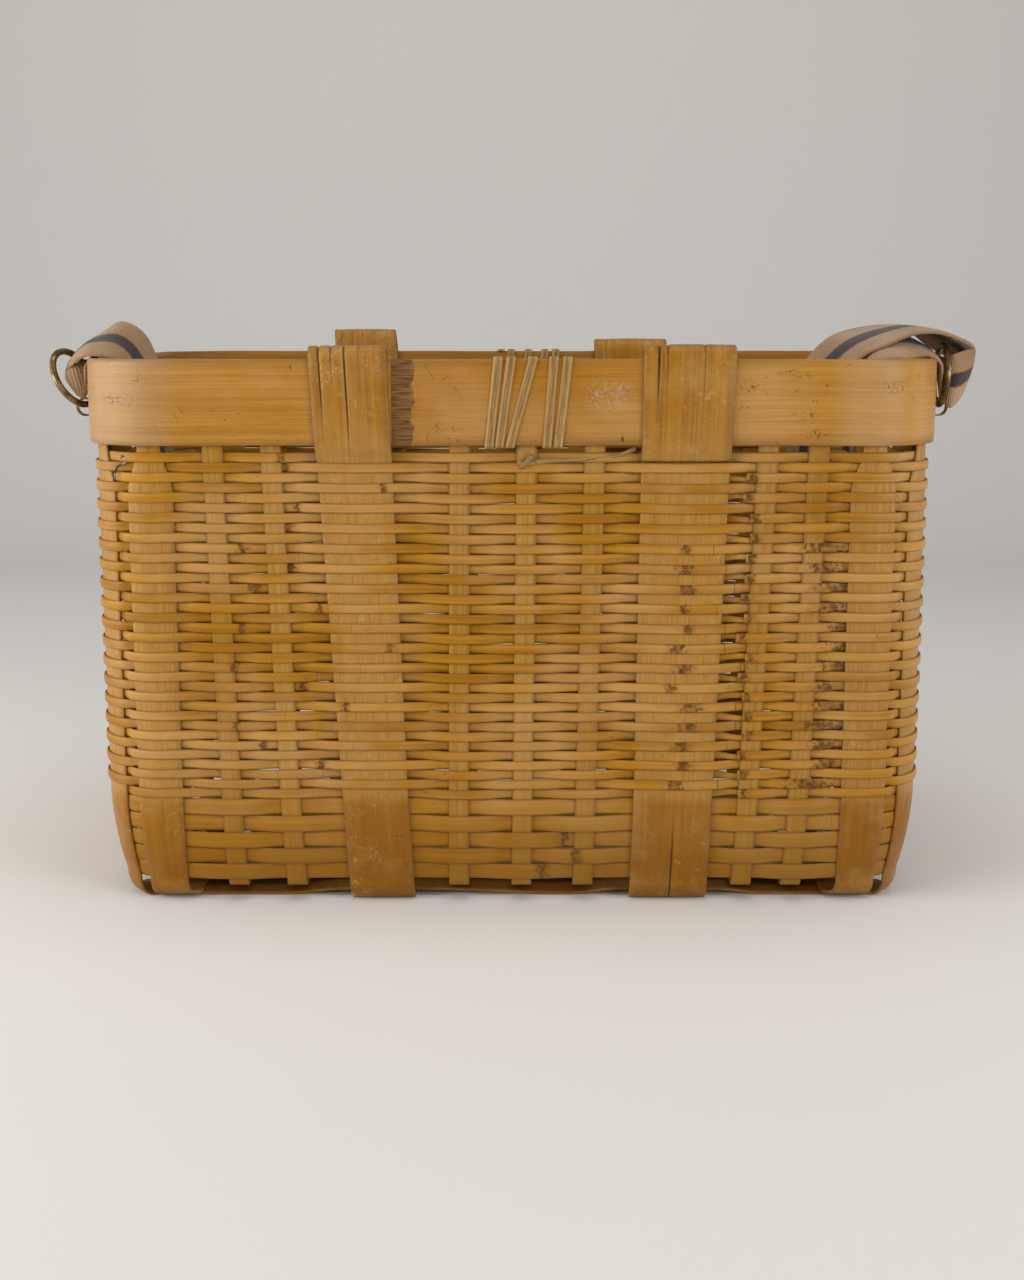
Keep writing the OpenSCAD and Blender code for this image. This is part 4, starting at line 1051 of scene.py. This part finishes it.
# From the tucked end round the ring, out over the rim and down into the basket
LEFT_WEB = [
    (-208, -68, 288.2, -208, -93, 286.3, 0), (-216, -70, 287.6, -216.5, -93, 286.3, 0),
    (-221.6, -77, 285.5, -222.4, -92, 280, 0), (-223, -82, 284.5, -223, -89, 266, 1),
    (-226.5, -87, 283, -226, -88, 264.5, 3), (-230, -88, 281, -229.3, -87, 268, 3.5),
    (-232.2, -87, 279, -231.8, -82, 273, 2), (-232.8, -87.5, 278.8, -234, -72, 277.5, 1),
    (-231, -90, 279.8, -235, -68, 282, 1), (-226.5, -95, 283.4, -230, -66, 287.5, 2),
    (-220, -98.5, 286.3, -222.5, -65.5, 293.5, 3), (-213.5, -101, 286.2, -215, -66, 299.5, 2),
    (-207, -101, 285, -208, -67, 303.4, 0), (-202, -99, 281, -199.5, -67, 300.5, -1),
    (-198.5, -97, 270, -192.5, -67, 291.5, 0), (-194, -96, 256, -187, -65, 270, 0),
    (-188, -97, 225, -184, -63, 230, 0), (-184, -97.5, 150, -183, -62.5, 150, 0),
]
LEFT_WEB += reversed(low_run(-1))
# Out over the rim, a fold at the ring, back through it and over the rim into the basket
RIGHT_WEB = low_run(1) + [
    (177, -95, 130, 172, -61, 130, 0), (166, -93, 200, 155, -62, 200, 0),
    (163, -93, 248, 148, -65, 248, 0),
    (170, -93, 272, 152, -65, 273, 0), (182, -95, 285.6, 161, -66, 288, 0),
    (194, -97, 291.5, 174, -66, 297.5, 0.5), (206, -98, 296.8, 198, -63, 301.5, 1),
    (215, -98, 298.2, 212, -62, 299, 2), (224, -97, 297.3, 223, -62, 291, 3.5),
    (234, -95.5, 294, 235, -66, 283.5, 3), (239, -94, 291.6, 240.5, -74, 276, 1.5),
    (240, -93.5, 290.6, 237.5, -82, 267, 1), (239, -93, 290, 232.5, -88, 261.5, 0.5),
    (236.5, -93, 289.4, 229.5, -91, 259.5, 0.5), (232, -93, 288, 228, -92.5, 259.5, 1),
    (227, -91.5, 286, 226.5, -91, 261, 1), (223.8, -84, 286.2, 223.9, -91.5, 264, 0.5),
    (222.2, -75, 288.5, 223, -95, 272, 0.5), (219.5, -71, 290.6, 222, -99.5, 281.5, 1),
    (213.5, -69, 294, 214.5, -103, 286.2, 1), (203, -69, 298, 204, -104, 284.6, 3.2),
    (193, -69, 297.5, 193, -103, 284, 3), (186, -69, 292, 186, -102, 279, 3),
    (182.5, -69, 280, 182, -101, 270, 2), (180, -68, 262, 179.5, -101, 256, 1),
    (178.5, -67.5, 236, 178, -101, 236, 0),
]

PLAIN_AT, PLAIN_SHARE = 12, 0.3  # the part of the cloth beside the stripe that a plain fold shows


def web_half(name, stations, plain, nodes):
    """One end of the webbing. Its first plain millimetres are folded so that they show no stripe."""
    part, length = web_part(stations)
    s, c = part["strip"][:, 0] / MM, part["strip"][:, 1] / MM
    fold = smoothstep((plain - s) / 8)
    part["strip"][:, 1] = (c * (1 - fold) + (PLAIN_AT + c * PLAIN_SHARE) * fold) * MM
    ob = piece(name, [part], WEB, nodes, body=None)
    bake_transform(ob)


web_half("webbing_left", LEFT_WEB, 46, ["left_strap_end", "shoulder_strap"])
web_half("webbing_right", RIGHT_WEB, 0, ["right_strap_end"])


# -------- stage, light and camera
def sweep():
    """Floor that curves up into a backdrop behind the object."""
    radius, back, wide, top = 0.8, 1.2, 4.0, 3.0
    line = [(-3.0, 0.0), (back, 0.0)]
    for a in np.linspace(0.1, math.pi / 2, 14):
        line.append((back + radius * math.sin(a), radius * (1 - math.cos(a))))
    line.append((back + radius, top))
    co = [(x, y, z) for y, z in line for x in (-wide, wide)]
    faces = [(2 * i, 2 * i + 1, 2 * i + 3, 2 * i + 2) for i in range(len(line) - 1)]
    floor = Graph("pale floor").finish({"Base Color": (222, 219, 214), "Roughness": 0.85})
    mesh = bpy.data.meshes.new("floor_sweep")
    mesh.from_pydata(co, [], faces)
    mesh.materials.append(floor)
    for p in mesh.polygons:
        p.use_smooth = True
    new_object("floor_sweep", mesh)


def area(name, place, target, size, power):
    light = bpy.data.lights.new(name, "AREA")
    light.shape = "RECTANGLE"
    light.size, light.size_y = size
    light.energy = power
    ob = new_object(name, light)
    ob.location = place
    x, y, z = unit(np.subtract(target, place, dtype=float))
    ob.rotation_euler = (math.acos(-z), 0, math.atan2(y, x) - math.pi / 2)


sweep()
area("key_left", (-1.5, -0.85, 0.62), (0, 0, 0.15), (1.3, 1.1), 20)
area("key_right", (1.35, -1.3, 0.7), (0, 0, 0.15), (0.9, 1.0), 14.5)
area("rim_left", (-1.15, -0.1, 0.36), (-0.1, 0, 0.2), (0.9, 0.6), 3.5)
area("rim_right", (1.1, -0.1, 0.36), (0.1, 0, 0.2), (0.5, 0.6), 2)
area("top_soft", (0, -0.2, 1.9), (0, 0, 0.1), (1.6, 1.2), 9)
world = bpy.data.worlds.new("studio")
world.use_nodes = True
sky = world.node_tree.nodes["Background"].inputs
sky["Color"].default_value = (1, 1, 1, 1)
sky["Strength"].default_value = 0.33
bpy.context.scene.world = world

# The camera that was fitted to the photo: its focal length is 1785 pixels where the picture is 1280 high
FOCAL_PX, HEIGHT_PX, SENSOR, PITCH_DOWN = 1785, 1280, 36, 10.1
camera = new_object("camera", bpy.data.cameras.new("camera"))
camera.data.lens = FOCAL_PX / HEIGHT_PX * SENSOR
camera.data.sensor_width = SENSOR
camera.location = (0, -1.032, 0.3035)
camera.rotation_euler = (math.radians(90 - PITCH_DOWN), 0, 0)
bpy.context.scene.camera = camera
bpy.context.scene.view_settings.view_transform = "Standard"
